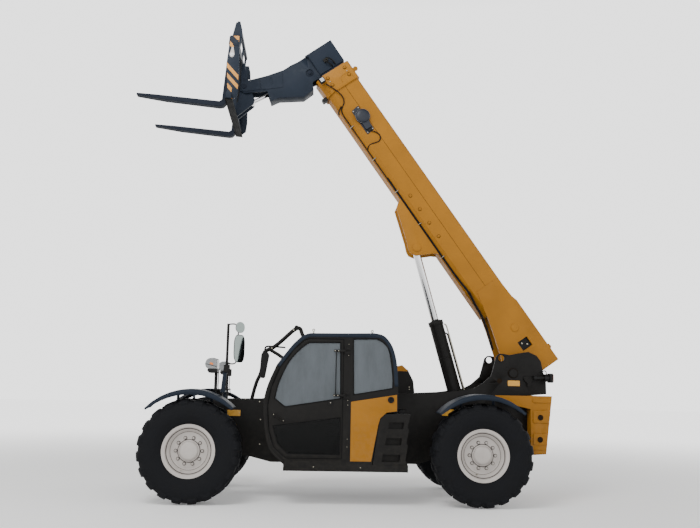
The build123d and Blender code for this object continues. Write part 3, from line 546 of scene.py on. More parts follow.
nodeFinish = {
    "frame_side_plates": (blackPaint, 0.003), "frame_crossmembers": (blackPaint, 0.004),
    "counterweight": (yellowPaint, 0.010), "front_axle": (castBlack, 0.005), "rear_axle": (castBlack, 0.005),
    "engine_bay": (blackPaint, 0.006), "engine_hood": (yellowPaint, 0.008),
    "engine_block": (engineCast, 0.01),
    "cab_frame": (blackPaint, 0.005), "cab_roof": (bluePaint, 0.008), "cab_floor": (blackPaint, 0.0),
    "cab_side_panel": (yellowPaint, 0.003), "cab_glass": (cabGlass, 0.0), "cab_door": (blackPaint, 0.004),
    "door_glass": (cabGlass, 0.0), "seat": (seatCloth, 0.02), "steering_column": (blackPlastic, 0.004),
    "side_step": (blackPaint, 0.006), "lamps": (blackPlastic, 0.006), "mirrors": (blackPlastic, 0.004),
    "cab_guard": (blackPaint, 0.0), "boom_outer": (yellowPaint, 0.004), "boom_mid": (bluePaint, 0.003),
    "boom_inner": (bluePaint, 0.004), "lift_barrel": (blackPaint, 0.003), "lift_rod": (chrome, 0.002),
    "tilt_barrel": (blackPaint, 0.002), "tilt_rod": (chrome, 0.001), "carriage": (bluePaint, 0.003),
    "forks": (forkPaint, 0.004),
}
for corner in corners:
    nodeFinish["knuckle_" + corner] = (castBlack, 0.004)
    nodeFinish["fender_" + corner] = (bluePaint, 0.0015)


def dressNodes():
    for name, (material, edge) in nodeFinish.items():
        piece = nodes[name]
        piece.data.materials.clear()
        piece.data.materials.append(material)
        if edge:
            softenEdges(piece, edge)


dressNodes()
print("stage: solids dressed")

# Tyres and wheels.


def addTurned(name, centre, axis, profile, material, body, count, closed):
    # profile of (radius, height) turned about the axis from the centre
    axis = np.asarray(axis, float)
    axis = axis / np.linalg.norm(axis)
    helper = [1.0, 0.0, 0.0] if abs(axis[0]) < 0.9 else [0.0, 1.0, 0.0]
    first = np.cross(axis, helper)
    first /= np.linalg.norm(first)
    second = np.cross(axis, first)
    profile = np.asarray(profile, float)
    u = np.linspace(0, 2 * math.pi, count, endpoint=False)[:, None, None]
    radius = profile[None, :, :1]
    height = profile[None, :, 1:]
    points = np.asarray(centre) + radius * (np.cos(u) * first + np.sin(u) * second) + height * axis
    faces = gridFaces(count, len(profile), True, closed)
    return addMesh(name, points.reshape(-1, 3), faces, material, body)


def addTorus(name, centre, axis, radius, thin, material, body="chassis", count=48):
    # ring about the axis: (radius + thin cos v) across it, thin sin v along it
    v = np.linspace(0, 2 * math.pi, 12, endpoint=False)
    profile = np.stack([radius + thin * np.cos(v), thin * np.sin(v)], -1)
    return addTurned(name, centre, axis, profile, material, body, count, True)


def tyreProfile(halfWidth, tipRadius, beadRadius):
    # (radius, y) from the inner bead over the tread to the outer bead
    tread = tipRadius - tyreValues["lugHeight"]
    half = [
        (beadRadius + 0.006, 0.148), (beadRadius + 0.030, 0.163), (beadRadius + 0.045, 0.176),
        (0.430, 0.207), (0.500, halfWidth), (0.560, halfWidth - 0.002), (0.605, halfWidth - 0.014),
        (tread - 0.012, halfWidth - 0.046), (tread, halfWidth - 0.085), (tread + 0.002, 0.0),
    ]
    outline = half + [(radius, -y) for radius, y in half[-2::-1]]
    return resample(rounded(outline, 3), tyreValues["sectionCount"])


def addTyre(corner):
    low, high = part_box("tyre_" + corner)
    centre = np.array((low + high) / 2)
    tipRadius = (high.z - low.z) / 2
    halfWidth = (high.y - low.y) / 2
    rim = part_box("rim_" + corner)
    beadRadius = (rim[1].z - rim[0].z) / 2 - rimValues["beadDepth"]
    profile = tyreProfile(halfWidth, tipRadius, beadRadius)
    tangent = np.gradient(profile, axis=0)
    normal = np.stack([-tangent[:, 1], tangent[:, 0]], -1)
    normal /= np.linalg.norm(normal, axis=1, keepdims=True)
    normal *= np.sign(np.sum(normal * (profile - [0.5, 0.0]), axis=1, keepdims=True))
    count = tyreValues["roundCount"]
    turn = np.linspace(0, tyreValues["lugCount"], count, endpoint=False)[:, None]
    radius, along = profile[None, :, 0], profile[None, :, 1]
    # lug height: full inside a leaning block on each half of the tread, falling off over its edge
    half = np.sign(along)
    reach = np.abs(along)
    skew = tyreValues["lugSkew"] * reach / halfWidth
    phase = (turn + np.where(half > 0, 0.25, 0.75) + skew) % 1.0 - 0.5
    pitch = 2 * math.pi * tipRadius / tyreValues["lugCount"]
    edge = tyreValues["lugEdge"]
    width = pitch * tyreValues["lugShare"] / 2 * (0.80 + 0.28 * reach / halfWidth)
    inside = smoothStep(width - np.abs(phase) * pitch, -edge, edge * 0.5)
    inside = inside * smoothStep(reach, 0.006, 0.016)
    foot, full = tipRadius - tyreValues["lugFoot"], tipRadius - tyreValues["lugFull"]
    inside = inside * smoothStep(radius, foot, full)
    lugs = tyreValues["lugHeight"] * 0.96 * inside
    # sidewall: two raised rings
    rings = 0.0025 * np.exp(
        -(((radius - 0.455) / 0.005) ** 2)
    ) + 0.003 * np.exp(-(((radius - 0.385) / 0.006) ** 2))
    height = lugs + rings
    points = axisPoints(
        radius + normal[None, :, 0] * height, along + normal[None, :, 1] * height,
        2 * math.pi * turn / tyreValues["lugCount"], centre,
    )
    points[..., 2] = np.maximum(points[..., 2], low.z)
    faces = gridFaces(count, len(profile), wrapU=True)
    piece = addMesh("tyreSkin_" + corner, points.reshape(-1, 3), faces, tyreRubber, "wheel_" + corner)
    fixNormals(piece)
    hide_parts("tyre_" + corner)


def addRim(corner):
    low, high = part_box("rim_" + corner)
    centre = np.array((low + high) / 2)
    flange = (high.z - low.z) / 2 / rimValues["boxOverFlange"]
    side = 1 if "right" in corner else -1
    half = (high.y - low.y) / 2
    bead = flange - rimValues["beadDepth"]
    body = "wheel_" + corner
    profile = [
        (0.0, 0.128), (0.060, 0.128), (0.100, 0.124), (0.118, 0.112), (0.122, 0.098), (0.138, 0.094),
        (0.143, 0.080), (0.150, 0.074), (0.205, 0.071), (0.232, 0.066), (0.246, 0.072), (0.262, 0.096),
        (0.282, 0.118), (0.296, 0.126), (0.300, 0.150), (0.312, 0.156), (0.330, 0.158),
        (flange - 0.006, half - 0.002), (flange, half - 0.005), (flange, half - 0.013),
        (flange - 0.012, half - 0.017), (bead, half - 0.018), (bead, 0.018 - half),
        (flange - 0.010, 0.016 - half), (flange, 0.010 - half), (flange - 0.004, 0.001 - half),
        (0.312, 0.004 - half), (0.300, 0.02 - half), (0.296, 0.045), (0.240, 0.050), (0.118, 0.044),
        (0.112, -0.038), (0.0, -0.038),
    ]
    piece = addLathe(
        "wheelDisc_" + corner, rounded(profile, 2), centre, rimValues["roundCount"], silverPaint, body,
        side,
    )
    fixNormals(piece)
    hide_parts("rim_" + corner)
    angle = (np.arange(rimValues["nutCount"]) + 0.5) * 2 * math.pi / rimValues["nutCount"]
    places = axisPoints(rimValues["nutRing"], rimValues["nutSeat"] * side + 0 * angle, angle, centre)
    out = (0, side, 0)
    # dark washers under the nuts: painted shade round each nut
    addLathes("nutWashers_" + corner, places, out, 0.0235, 0.006, rimShade, body)
    addBolts(
        "wheelNuts_" + corner, places, out, rimValues["nutRadius"], rimValues["nutHeight"], silverPaint,
        body,
    )
    # dark rings of painted shade where the surfaces meet: radius, place across the wheel, thickness
    shadeRings = [
        (0.1225, 0.0965, 0.003), (0.143, 0.082, 0.006), (0.246, 0.0735, 0.003), (0.2905, 0.122, 0.006),
        (0.3345, 0.157, 0.002),
    ]
    for index, (radius, along, thin) in enumerate(shadeRings, 1):
        addTorus(
            f"rimPaintedShade{index}_{corner}", centre + [0, side * along, 0], (0, 1, 0), radius, thin, rimShade,
            body, 96,
        )
    addLathes("wheelStuds_" + corner, places, out, 0.008, 0.036, silverPaint, body)
    valve = axisPoints(0.262, 0.0, math.radians(200), centre)
    steps = ([0, side * 0.09, 0], [0, side * 0.12, 0], [0.012, side * 0.145, 0.01])
    addTube("valve_" + corner, [valve + step for step in steps], 0.006, zincBolt, body)


for corner in corners:
    addTyre(corner)
    addRim(corner)
print("stage: wheels")

# Places on the machine: x from the front axle, or along the boom, or on the carriage.

frontAxleX = joints["steer_front_left"]["pos_m"][0]
boomPivot = np.array(joints["boom_lift"]["pos_m"])
boomAhead = np.array(joints["boom_extend"]["axis"])
boomUp = np.array([boomAhead[2], 0.0, -boomAhead[0]])
carriagePivot = np.array(joints["carriage_tilt"]["pos_m"])
carriageTurn = math.radians(4.7)
carriageLevel = np.array([math.cos(carriageTurn), 0.0, -math.sin(carriageTurn)])
carriageUp = np.array([math.sin(carriageTurn), 0.0, math.cos(carriageTurn)])
wheelbase = joints["steer_rear_left"]["pos_m"][0] - frontAxleX
bothSides = ((-1, "Left"), (1, "Right"))
leftward = (0.0, -1.0, 0.0)


def onFrame(x, y, z):
    return np.stack(np.broadcast_arrays(np.asarray(x, float) + frontAxleX, y, z), -1)


def placed(origin, ahead, above, a, y, b):
    # from the origin, a along the first direction, b along the second and y to the right
    a, y, b = (part[..., None] for part in np.broadcast_arrays(np.asarray(a, float), y, b))
    return origin + a * ahead + b * above + y * np.array([0.0, 1.0, 0.0])


def onBoom(u, y, n):
    # u ahead of the pivot along the boom, n above it
    return placed(boomPivot, boomAhead, boomUp, u, y, n)


def onCarriage(x, y, z):
    return placed(carriagePivot, carriageLevel, carriageUp, x, y, z)


def addRun(name, points, radius, material, body="chassis", place=onFrame, sharp=False):
    # a hose or bar along points that place turns into places on the machine
    return addTube(name, [place(*point) for point in points], radius, material, body, sharp)


def sidePlate(name, outline, firstY, secondY, material, body="chassis", place=onFrame, edge=0.0, segments=2):
    # a plate between two y, with an outline in side view
    def onSide(a, b, c):
        return place(a, c, b)

    return addPrism(name, outline, sorted((firstY, secondY)), onSide, material, body, edge, segments)


def addBlock(name, low, high, material, body="chassis", place=onFrame, edge=0.003):
    outline = [(low[0], low[2]), (high[0], low[2]), (high[0], high[2]), (low[0], high[2])]
    return sidePlate(name, outline, low[1], high[1], material, body, place, edge)


def roundedOutline(outline, radius, steps=6):
    # the outline with each corner turned into an arc-like curve that starts radius before the corner
    outline = np.asarray(outline, float)
    points = []
    share = np.linspace(0, 1, steps + 1)[:, None]
    for index, corner in enumerate(outline):
        before = outline[index - 1] - corner
        after = outline[(index + 1) % len(outline)] - corner
        cut = min(radius, 0.48 * np.linalg.norm(before), 0.48 * np.linalg.norm(after))
        start = corner + before / np.linalg.norm(before) * cut
        end = corner + after / np.linalg.norm(after) * cut
        points.append((1 - share) ** 2 * start + 2 * share * (1 - share) * corner + share**2 * end)
    return np.vstack(points)


def addLoop(
    name, outline, y, halfWidth, halfDepth, material, body="chassis", place=onFrame, cornerRadius=0.05,
):
    # a flat-sided strip of soft section that follows a closed outline in side view
    path = roundedOutline(outline, cornerRadius, 8)
    ahead = np.roll(path, -1, 0) - path
    back = path - np.roll(path, 1, 0)
    tangent = ahead / np.maximum(np.linalg.norm(ahead, axis=1, keepdims=True), 1e-9)
    tangent = tangent + back / np.maximum(np.linalg.norm(back, axis=1, keepdims=True), 1e-9)
    tangent /= np.maximum(np.linalg.norm(tangent, axis=1, keepdims=True), 1e-9)
    normal = np.stack([-tangent[:, 1], tangent[:, 0]], -1)
    angle = np.arange(12) * math.pi / 6
    # section: a squared circle
    wide = softPower(np.cos(angle), 0.5) * halfWidth
    deep = softPower(np.sin(angle), 0.5) * halfDepth
    flat = path[:, None, :] + normal[:, None, :] * wide[None, :, None]
    points = place(flat[..., 0], y + deep[None, :] + 0 * flat[..., 0], flat[..., 1])
    piece = addMesh(name, points.reshape(-1, 3), gridFaces(len(path), 12, True, True), material, body)
    fixNormals(piece)
    return piece


def addDisc(name, centre, axis, profile, material, body="chassis", count=48):
    piece = addTurned(name, centre, axis, profile, material, body, count, False)
    fixNormals(piece)
    return piece


def domed(radius, height, roundness=0.35):
    # profile of a button with a rounded rim
    curve = np.linspace(0, math.pi / 2, 6)
    rim = height * roundness
    arc = np.stack([radius - rim + rim * np.cos(curve), height - rim + rim * np.sin(curve)], -1)
    return [(radius, 0.0)] + arc.tolist() + [(0.0, height)]


def clipped(outline, normal, low, high):
    # the part of a convex outline between two lines across the normal
    outline = [np.asarray(point, float) for point in outline]
    for sign, limit in ((1, low), (-1, -high)):
        kept = []
        for index, point in enumerate(outline):
            before = outline[index - 1]
            inside = sign * np.dot(point, normal) - limit
            insideBefore = sign * np.dot(before, normal) - limit
            if (inside >= 0) != (insideBefore >= 0):
                kept.append(before + (point - before) * insideBefore / (insideBefore - inside))
            if inside >= 0:
                kept.append(point)
        outline = kept
    return outline


# Boom: welds, collar bolts, side pads, the round sensor housing, hoses and their clips.

boomHalf = 0.210
collarHalf = 0.232
jibHalf = 0.118
carriageHalf = 0.832
forkMiddle = 0.700


def dressBoom():
    body = "boom_outer"
    for side, tag in bothSides:
        y = side * (collarHalf + 0.001)
        places = onBoom([5.173, 5.043, 5.041, 5.168], y, [0.604, 0.601, 0.295, 0.293])
        out = (0, side, 0)
        addLathes("collarPadPlugs" + tag, places, out, 0.022, 0.010, yellowPaint, body)
        # a thin dark ring round each plug: painted shade
        for index, centre in enumerate(places, 1):
            addTorus(
                f"collarPlugShadeRing{tag}{index}", centre + [0, side * 0.002, 0], (0, 1, 0), 0.0245, 0.0035,
                seamDirtAndShade, body, 32,
            )
        addBolts("collarBolts" + tag, places + [0, side * 0.011, 0], out, 0.013, 0.009, yellowPaint, body)
        grease = onBoom([5.108, 5.105], y, [0.603, 0.294])
        addLathes("collarGreasePoints" + tag, grease, out, 0.008, 0.012, zincBolt, body)
        pads = onBoom([2.976, 2.729, 2.481, 2.237], side * boomHalf, 0.305)
        addLathes("boomPadPlugs" + tag, pads, out, 0.022, 0.010, yellowPaint, body)
        # a thin dark ring round each plug: painted shade
        for index, centre in enumerate(pads, 1):
            addTorus(
                f"boomPlugShadeRing{tag}{index}", centre + [0, side * 0.001, 0], (0, 1, 0), 0.0245, 0.003,
                seamDirtAndShade, body, 32,
            )
        addBolts("boomPadBolts" + tag, pads + [0, side * 0.009, 0], out, 0.012, 0.008, yellowPaint, body)
        seam = onBoom([4.94, 1.24], side * (boomHalf + 0.0005), 0.452)
        addTube("boomSeam" + tag, seam, 0.0022, seamDirtAndShade, body, sharp=True)
        weld = [(1.237, 0.672), (1.237, 0.300), (0.845, 0.207)]
        weldY = side * (boomHalf + 0.003)
        addTube(
            "tailWeld" + tag, [onBoom(u, weldY, n) for u, n in weld], 0.005, yellowPaint, body, sharp=True,
        )
        ear = [(2.060, 0.140), (2.078, 0.095), (2.190, -0.126)]
        addTube(
            "earWeld" + tag, [onBoom(u, side * 0.150, n) for u, n in ear], 0.004, yellowPaint, body,
            sharp=True,
        )
        addDisc(
            "tailPinCover" + tag, onBoom(0.50, side * 0.224, 0.45), (0, side, 0), domed(0.055, 0.012),
            yellowPaint, body,
        )
    addTorus("collarRing", onBoom(5.140, 0.0, 0.796), (0, 1, 0), 0.030, 0.009, yellowPaint, body)
    collarPath = np.array([
        (-0.232, 0.245), (-0.138, 0.142), (0.138, 0.142), (0.232, 0.245), (0.232, 0.682), (0.200, 0.714),
        (-0.200, 0.714), (-0.232, 0.682),
    ])
    corner = [onBoom(4.938, y, n) for y, n in np.vstack([collarPath, collarPath[:1]])]
    addTube("collarWeld", corner, 0.005, yellowPaint, body, sharp=True)
    # round housing on its plate
    plate = roundedOutline([(4.11, 0.305), (4.13, 0.440), (4.565, 0.440), (4.545, 0.305)], 0.015)
    sidePlate("sensorPlate", plate, -boomHalf - 0.008, -boomHalf, sensorPaint, body, onBoom, 0.002)
    centre = onBoom(4.383, -boomHalf - 0.008, 0.400)
    shell = [
        (0.110, 0.0), (0.110, 0.030), (0.106, 0.044), (0.094, 0.055), (0.070, 0.062), (0.035, 0.065),
        (0.0, 0.066),
    ]
    addDisc("sensorHousing", centre, (0, -1, 0), shell, sensorPaint, body, 64)
    addTorus("sensorRim", centre + [0, -0.033, 0], (0, 1, 0), 0.1102, 0.0015, lampShell, body)
    neck = roundedOutline([(4.175, 0.325), (4.175, 0.425), (4.330, 0.445), (4.330, 0.330)], 0.02)
    sidePlate("sensorNeck", neck, -boomHalf - 0.046, -boomHalf - 0.008, sensorPaint, body, onBoom, 0.006)
    addBlock(
        "sensorPlug", (4.130, -boomHalf - 0.03, 0.345), (4.176, -boomHalf - 0.008, 0.405), blackPlastic,
        body, onBoom,
    )
    plateCorners = onBoom([4.525, 4.535, 4.135, 4.145], -boomHalf - 0.008, [0.325, 0.420, 0.325, 0.420])
    addBolts("sensorBolts", plateCorners, leftward, 0.010, 0.008, zincBolt, body)
    # hoses on the left side, clipped along the lower fold
    fold = (-0.153, 0.177)
    cable = [
        (5.10, -0.262, 0.215), (5.02, -0.262, 0.250), (4.90, -0.246, 0.305), (4.80, -0.226, 0.325),
        (4.72, -0.222, 0.295), (4.68, -0.216, 0.240), (4.67, -0.182, 0.203), (4.60, *fold), (4.40, *fold),
        (4.00, *fold), (3.40, *fold), (2.60, *fold), (1.90, *fold), (1.55, *fold), (1.30, -0.205, 0.190),
        (1.10, -0.240, 0.150), (0.90, -0.243, 0.135), (0.66, -0.243, 0.070), (0.42, -0.243, -0.02),
    ]
    addRun("boomCable", cable, 0.0085, hoseRubber, body, onBoom)
    second = [(u, y - 0.010, n + 0.012) for u, y, n in cable[10:]]
    addRun("boomCableSecond", second, 0.008, hoseRubber, body, onBoom)
    branch = [
        (4.135, -0.228, 0.375), (4.10, -0.232, 0.405), (4.05, -0.224, 0.445), (3.98, -0.220, 0.455),
        (3.92, -0.219, 0.400), (3.95, -0.219, 0.300), (3.97, -0.200, 0.226), (3.93, -0.158, 0.184),
    ]
    addRun("sensorCable", branch, 0.008, hoseRubber, body, onBoom)
    loop = [(4.70, -0.200, 0.225), (4.68, -0.170, 0.180), (4.66, -0.120, 0.148), (4.64, -0.06, 0.150)]
    addRun("underCable", loop, 0.008, hoseRubber, body, onBoom)
    for index, u in enumerate((4.35, 3.75, 3.15, 2.55, 1.95), 1):
        clip = [(u, -0.128, 0.160), (u, -0.150, 0.166), (u, -0.170, 0.184), (u, -0.184, 0.212)]
        addRun(f"cableClip{index}", clip, 0.007, zincBolt, body, onBoom)
    guard = np.array([onBoom(*point) for point in cable[14:]])
    path = resample(rounded(guard, 2), 900)
    turn = np.linspace(0, 2 * math.pi * 44, len(path))[:, None]
    coil = path + [0, -0.006, 0.008] + 0.021 * (np.cos(turn) * [0.0, 1.0, 0.0] + np.sin(turn) * boomUp)
    addSpring("hoseSpringGuard", coil, 0.0035, castBlack, body)
    # work lamp and hose guide under the collar
    addBlock("workLampBracket", (5.12, -0.262, 0.165), (5.20, -0.228, 0.245), yellowPaint, body, onBoom)
    addBlock(
        "workLampBody", (5.125, -0.320, 0.145), (5.215, -0.262, 0.232), blackPlastic, body, onBoom, 0.012,
    )
    addBlock("workLampLens", (5.140, -0.324, 0.160), (5.200, -0.319, 0.217), lampGlass, body, onBoom, 0.002)
    addBlock("hoseGuide", (4.925, -0.090, 0.060), (4.985, 0.020, 0.140), blackPlastic, body, onBoom, 0.006)
    grease = onBoom([5.0, 4.97, 5.2], -0.19, 0.205)
    addLathes("lowerPadPlugs", grease, (0.0, -0.69, -0.72), 0.016, 0.02, yellowPaint, body)
    # small items on the top plate and in the tail
    addBlock("topSensorBox", (3.02, -0.03, 0.690), (3.14, 0.03, 0.725), blackPlastic, body, onBoom, 0.006)
    addBlock(
        "tailValveBlock", (0.140, -0.176, 0.346), (0.310, 0.176, 0.534), blackPlastic, body, onBoom, 0.004,
    )
    ports = onBoom([0.20, 0.25], -0.177, [0.47, 0.41])
    addLathes("tailPorts", ports, leftward, 0.014, 0.03, zincBolt, body)


def addSpring(name, path, radius, material, body):
    # a wire along the points: section circle across each step
    ahead = np.gradient(path, axis=0)
    ahead /= np.linalg.norm(ahead, axis=1, keepdims=True)
    first = np.cross(ahead, [0.3, 0.5, 0.81])
    first /= np.linalg.norm(first, axis=1, keepdims=True)
    second = np.cross(ahead, first)
    angle = np.arange(6) * math.pi / 3
    points = path[:, None] + radius * (
        np.cos(angle)[None, :, None] * first[:, None] + np.sin(angle)[None, :, None] * second[:, None]
    )
    return addMesh(name, points.reshape(-1, 3), gridFaces(len(path), 6, False, True), material, body)


def dressJib():
    body = "boom_inner"
    for side, tag in bothSides:
        doubler = roundedOutline([
            (5.668, -0.205), (5.692, -0.300), (5.726, -0.440), (5.766, -0.560), (5.607, -0.620),
            (5.540, -0.500), (5.460, -0.330),
        ], 0.012)
        y = side * jibHalf
        sidePlate("jibDoubler" + tag, doubler, y, y + side * 0.008, bluePaint, body, onBoom, 0.002)
        hub = roundedOutline([
            (5.775, -0.570), (5.815, -0.680), (5.862, -0.800), (5.850, -0.862), (5.797, -0.888),
            (5.722, -0.858), (5.618, -0.640),
        ], 0.012)
        sidePlate("jibHubPlate" + tag, hub, y, y + side * 0.010, bluePaint, body, onBoom, 0.002)
        slot = roundedOutline([(5.700, -0.385), (5.690, -0.425), (5.598, -0.460), (5.600, -0.420)], 0.03)
        addLoop("jibSlot" + tag, slot, y + side * 0.009, 0.005, 0.003, bluePaint, body, onBoom, 0.02)
        head = onBoom(5.432, side * 0.126, 0.137)
        addDisc("tiltPinCap" + tag, head, (0, side, 0), domed(0.030, 0.014), forkPaint, body)
        addTorus("tiltPinCollar" + tag, head, (0, 1, 0), 0.052, 0.005, forkPaint, body)
        addDisc(
            "jibPinCap" + tag, onBoom(5.797, side * 0.128, -0.822), (0, side, 0), domed(0.040, 0.010),
            forkPaint, body,
        )
        weld = [(5.285, 0.175), (5.300, 0.255), (5.640, 0.255), (5.672, 0.215)]
        addTube(
            "headWeld" + tag, [onBoom(u, side * 0.1725, n) for u, n in weld], 0.004, bluePaint, body,
            sharp=True,
        )
    addBlock("hoseBlock", (5.415, -0.186, 0.405), (5.475, -0.172, 0.480), castBlack, body, onBoom)
    stub = onBoom([5.46, 5.43], -0.186, [0.463, 0.422])
    addLathes("hoseStubs", stub, leftward, 0.013, 0.03, zincBolt, body)
    first = [
        (5.46, -0.214, 0.463), (5.46, -0.234, 0.455), (5.43, -0.236, 0.490), (5.37, -0.210, 0.530),
        (5.31, -0.184, 0.530),
    ]
    addRun("noseHose", first, 0.010, hoseRubber, body, onBoom)
    second = [
        (5.43, -0.214, 0.422), (5.43, -0.230, 0.412), (5.38, -0.226, 0.440), (5.33, -0.196, 0.475),
        (5.305, -0.180, 0.480),
    ]
    addRun("noseHoseSecond", second, 0.010, hoseRubber, body, onBoom)


def dressCarriage():
    body = "fork_carriage"
    outline = [
        (-0.186, 0.470), (-0.066, 0.484), (0.008, -0.269), (0.003, -0.415), (-0.062, -0.478),
        (-0.118, -0.462), (-0.191, 0.045),
    ]
    across = np.array([0.68, 0.73])
    # band limits across the plate, then how far along x each band reaches
    bands = [
        (0.246, 0.40, -1.0, 1.0), (0.112, 0.160, -1.0, -0.125), (-0.132, -0.084, -1.0, 1.0),
        (-0.229, -0.181, -1.0, 1.0), (-0.325, -0.277, -1.0, -0.075), (-0.425, -0.374, -0.070, 1.0),
    ]
    for side, tag in bothSides:
        y = side * carriageHalf
        for index, (low, high, start, end) in enumerate(bands, 1):
            band = clipped(clipped(outline, across, low, high), np.array([1.0, 0.0]), start, end)
            sidePlate(f"stripe{tag}{index}", band, y, y + side * 0.0012, stripeYellow, body, onCarriage)
        lampOutline = roundedOutline([
            (-0.150, 0.305), (-0.128, 0.305), (-0.098, 0.190), (-0.115, 0.150), (-0.155, 0.150),
            (-0.172, 0.190),
        ], 0.03)
        sidePlate(
            "markerPlate" + tag, lampOutline, y, y + side * 0.002, silverPaint, body, onCarriage, 0.0008,
        )
        addDisc(
            "markerLens" + tag, onCarriage(-0.135, y + side * 0.002, 0.187), (0, side, 0),
            domed(0.032, 0.012), lampGlass, body,
        )
        addDisc(
            "carriagePinCap" + tag, onCarriage(0.0, side * 0.0885, 0.0), (0, side, 0),
            [(0.066, 0), (0.066, 0.006), (0.06, 0.008), (0.045, 0.008)], bluePaint, body,
        )
        corner = [(-0.169, 0.470), (-0.137, 0.694), (-0.074, 0.700), (-0.036, 0.590), (-0.020, 0.470)]
        sidePlate(
            "backrestCorner" + tag, corner, side * 0.800, side * 0.815, bluePaint, body, onCarriage, 0.003,
        )
    hose = [
        (-0.05, -0.30, -0.33), (-0.03, -0.33, -0.20), (-0.035, -0.36, 0.0), (-0.04, -0.40, 0.20),
        (-0.05, -0.42, 0.30),
    ]
    addRun("carriageHose", hose, 0.009, hoseRubber, body, onCarriage)
    # a near-black strip along the carriage's underside: painted shade
    addBlock(
        "carriageUnderShade", (-0.150, -0.880, -0.499), (-0.040, 0.880, -0.487), sealRubberAndShade, body,
        onCarriage, 0.002,
    )
    for side, tag in bothSides:
        forkY = side * forkMiddle
        blade = [
            (-1.422, -0.512), (-1.422, -0.538), (-1.000, -0.566), (-0.230, -0.574), (-0.178, -0.560),
            (-0.146, -0.520), (-0.141, 0.498), (-0.206, 0.512), (-0.206, -0.470), (-0.240, -0.498),
            (-1.150, -0.504),
        ]
        fork = sidePlate(
            "forkBlade" + tag, blade, forkY - 0.0615, forkY + 0.0615, forkPaint, body, onCarriage, 0.007, 3,
        )
        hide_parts("forks")
        addBlock(
            "forkHook" + tag, (-0.214, forkY - 0.05, 0.38), (-0.208, forkY + 0.05, 0.50), forkPaint, body,
            onCarriage, 0.002,
        )


# Cab: rubber round the glass, hinge bolts, latch, handle pin, roof eyes and what shows inside.

upperDoorGlass = [(1.954, 2.129), (1.969, 1.374), (1.225, 1.253)]
upperDoorCurve = [(1.080, 1.367), (1.132, 1.591), (1.258, 1.861), (1.405, 2.032), (1.521, 2.120)]
lowerDoorGlass = [(1.069, 1.020), (1.966, 1.144), (1.966, 0.651), (1.275, 0.656), (1.143, 0.780)]
quarterGlass = [(2.121, 1.424), (2.106, 2.180)]
quarterCurve = [(2.440, 2.188), (2.545, 2.120), (2.610, 2.009), (2.655, 1.722), (2.660, 1.521)]
rightGlass = [
    (1.090, 1.180), (1.135, 1.560), (1.250, 1.830), (1.400, 2.010), (1.530, 2.100), (2.400, 2.110),
    (2.540, 1.990), (2.600, 1.560), (2.600, 1.180),
]
doorOutline = [
    (1.262, 0.604), (1.098, 0.740), (1.028, 0.956), (1.001, 1.272), (1.041, 1.510), (1.152, 1.785),
    (1.322, 2.012), (1.462, 2.140), (1.530, 2.164), (1.988, 2.168), (1.988, 0.604),
]
cabLeft = -1.130
cabRight = -0.448
cabFront = [(1.223, 0.534), (1.053, 0.702), (0.978, 0.944), (0.949, 1.272), (0.991, 1.522), (1.107, 1.808)]
cabTop = [
    (1.107, 1.808), (1.285, 2.047), (1.365, 2.133), (1.434, 2.192), (1.526, 2.231), (1.640, 2.236),
    (1.950, 2.241), (2.290, 2.249), (2.404, 2.250), (2.524, 2.219), (2.611, 2.126), (2.664, 2.009),
    (2.700, 1.841), (2.721, 1.555),
]


def throughPoints(points, steps=8):
    # Catmull-Rom curve: passes each point with the slope between its neighbours
    points = np.asarray(points, float)
    padded = np.vstack([2 * points[0] - points[1], points, 2 * points[-1] - points[-2]])
    share = np.linspace(0, 1, steps, endpoint=False)[None, :, None]
    before, start, end, after = (padded[index: len(padded) - 3 + index][:, None] for index in range(4))
    curve = 0.5 * (
        2 * start + (end - before) * share + (2 * before - 5 * start + 4 * end - after) * share**2
        + (3 * start - before - 3 * end + after) * share**3
    )
    return np.vstack([curve.reshape(-1, 2), points[-1:]])


def addBand(name, path, y, width, halfDepth, material, outside=0.004):
    # a rounded strip inside a side-view path: its outer edge lies outside the path by that much
    tangent = np.gradient(path, axis=0)
    tangent /= np.linalg.norm(tangent, axis=1, keepdims=True)
    normal = np.stack([-tangent[:, 1], tangent[:, 0]], -1)
    angle = np.arange(16) * math.pi / 8
    wide = softPower(np.cos(angle), 0.45) * width / 2 + outside - width / 2
    deep = softPower(np.sin(angle), 0.45) * halfDepth
    flat = path[:, None, :] + normal[:, None, :] * wide[None, :, None]
    points = onFrame(flat[..., 0], y + deep[None, :] + 0 * flat[..., 0], flat[..., 1])
    faces = gridFaces(len(path), 16, False, True).tolist()
    faces += [list(range(16)), [len(path) * 16 - 1 - index for index in range(16)]]
    piece = addMesh(name, points.reshape(-1, 3), faces, material, "chassis")
    fixNormals(piece)
    return piece


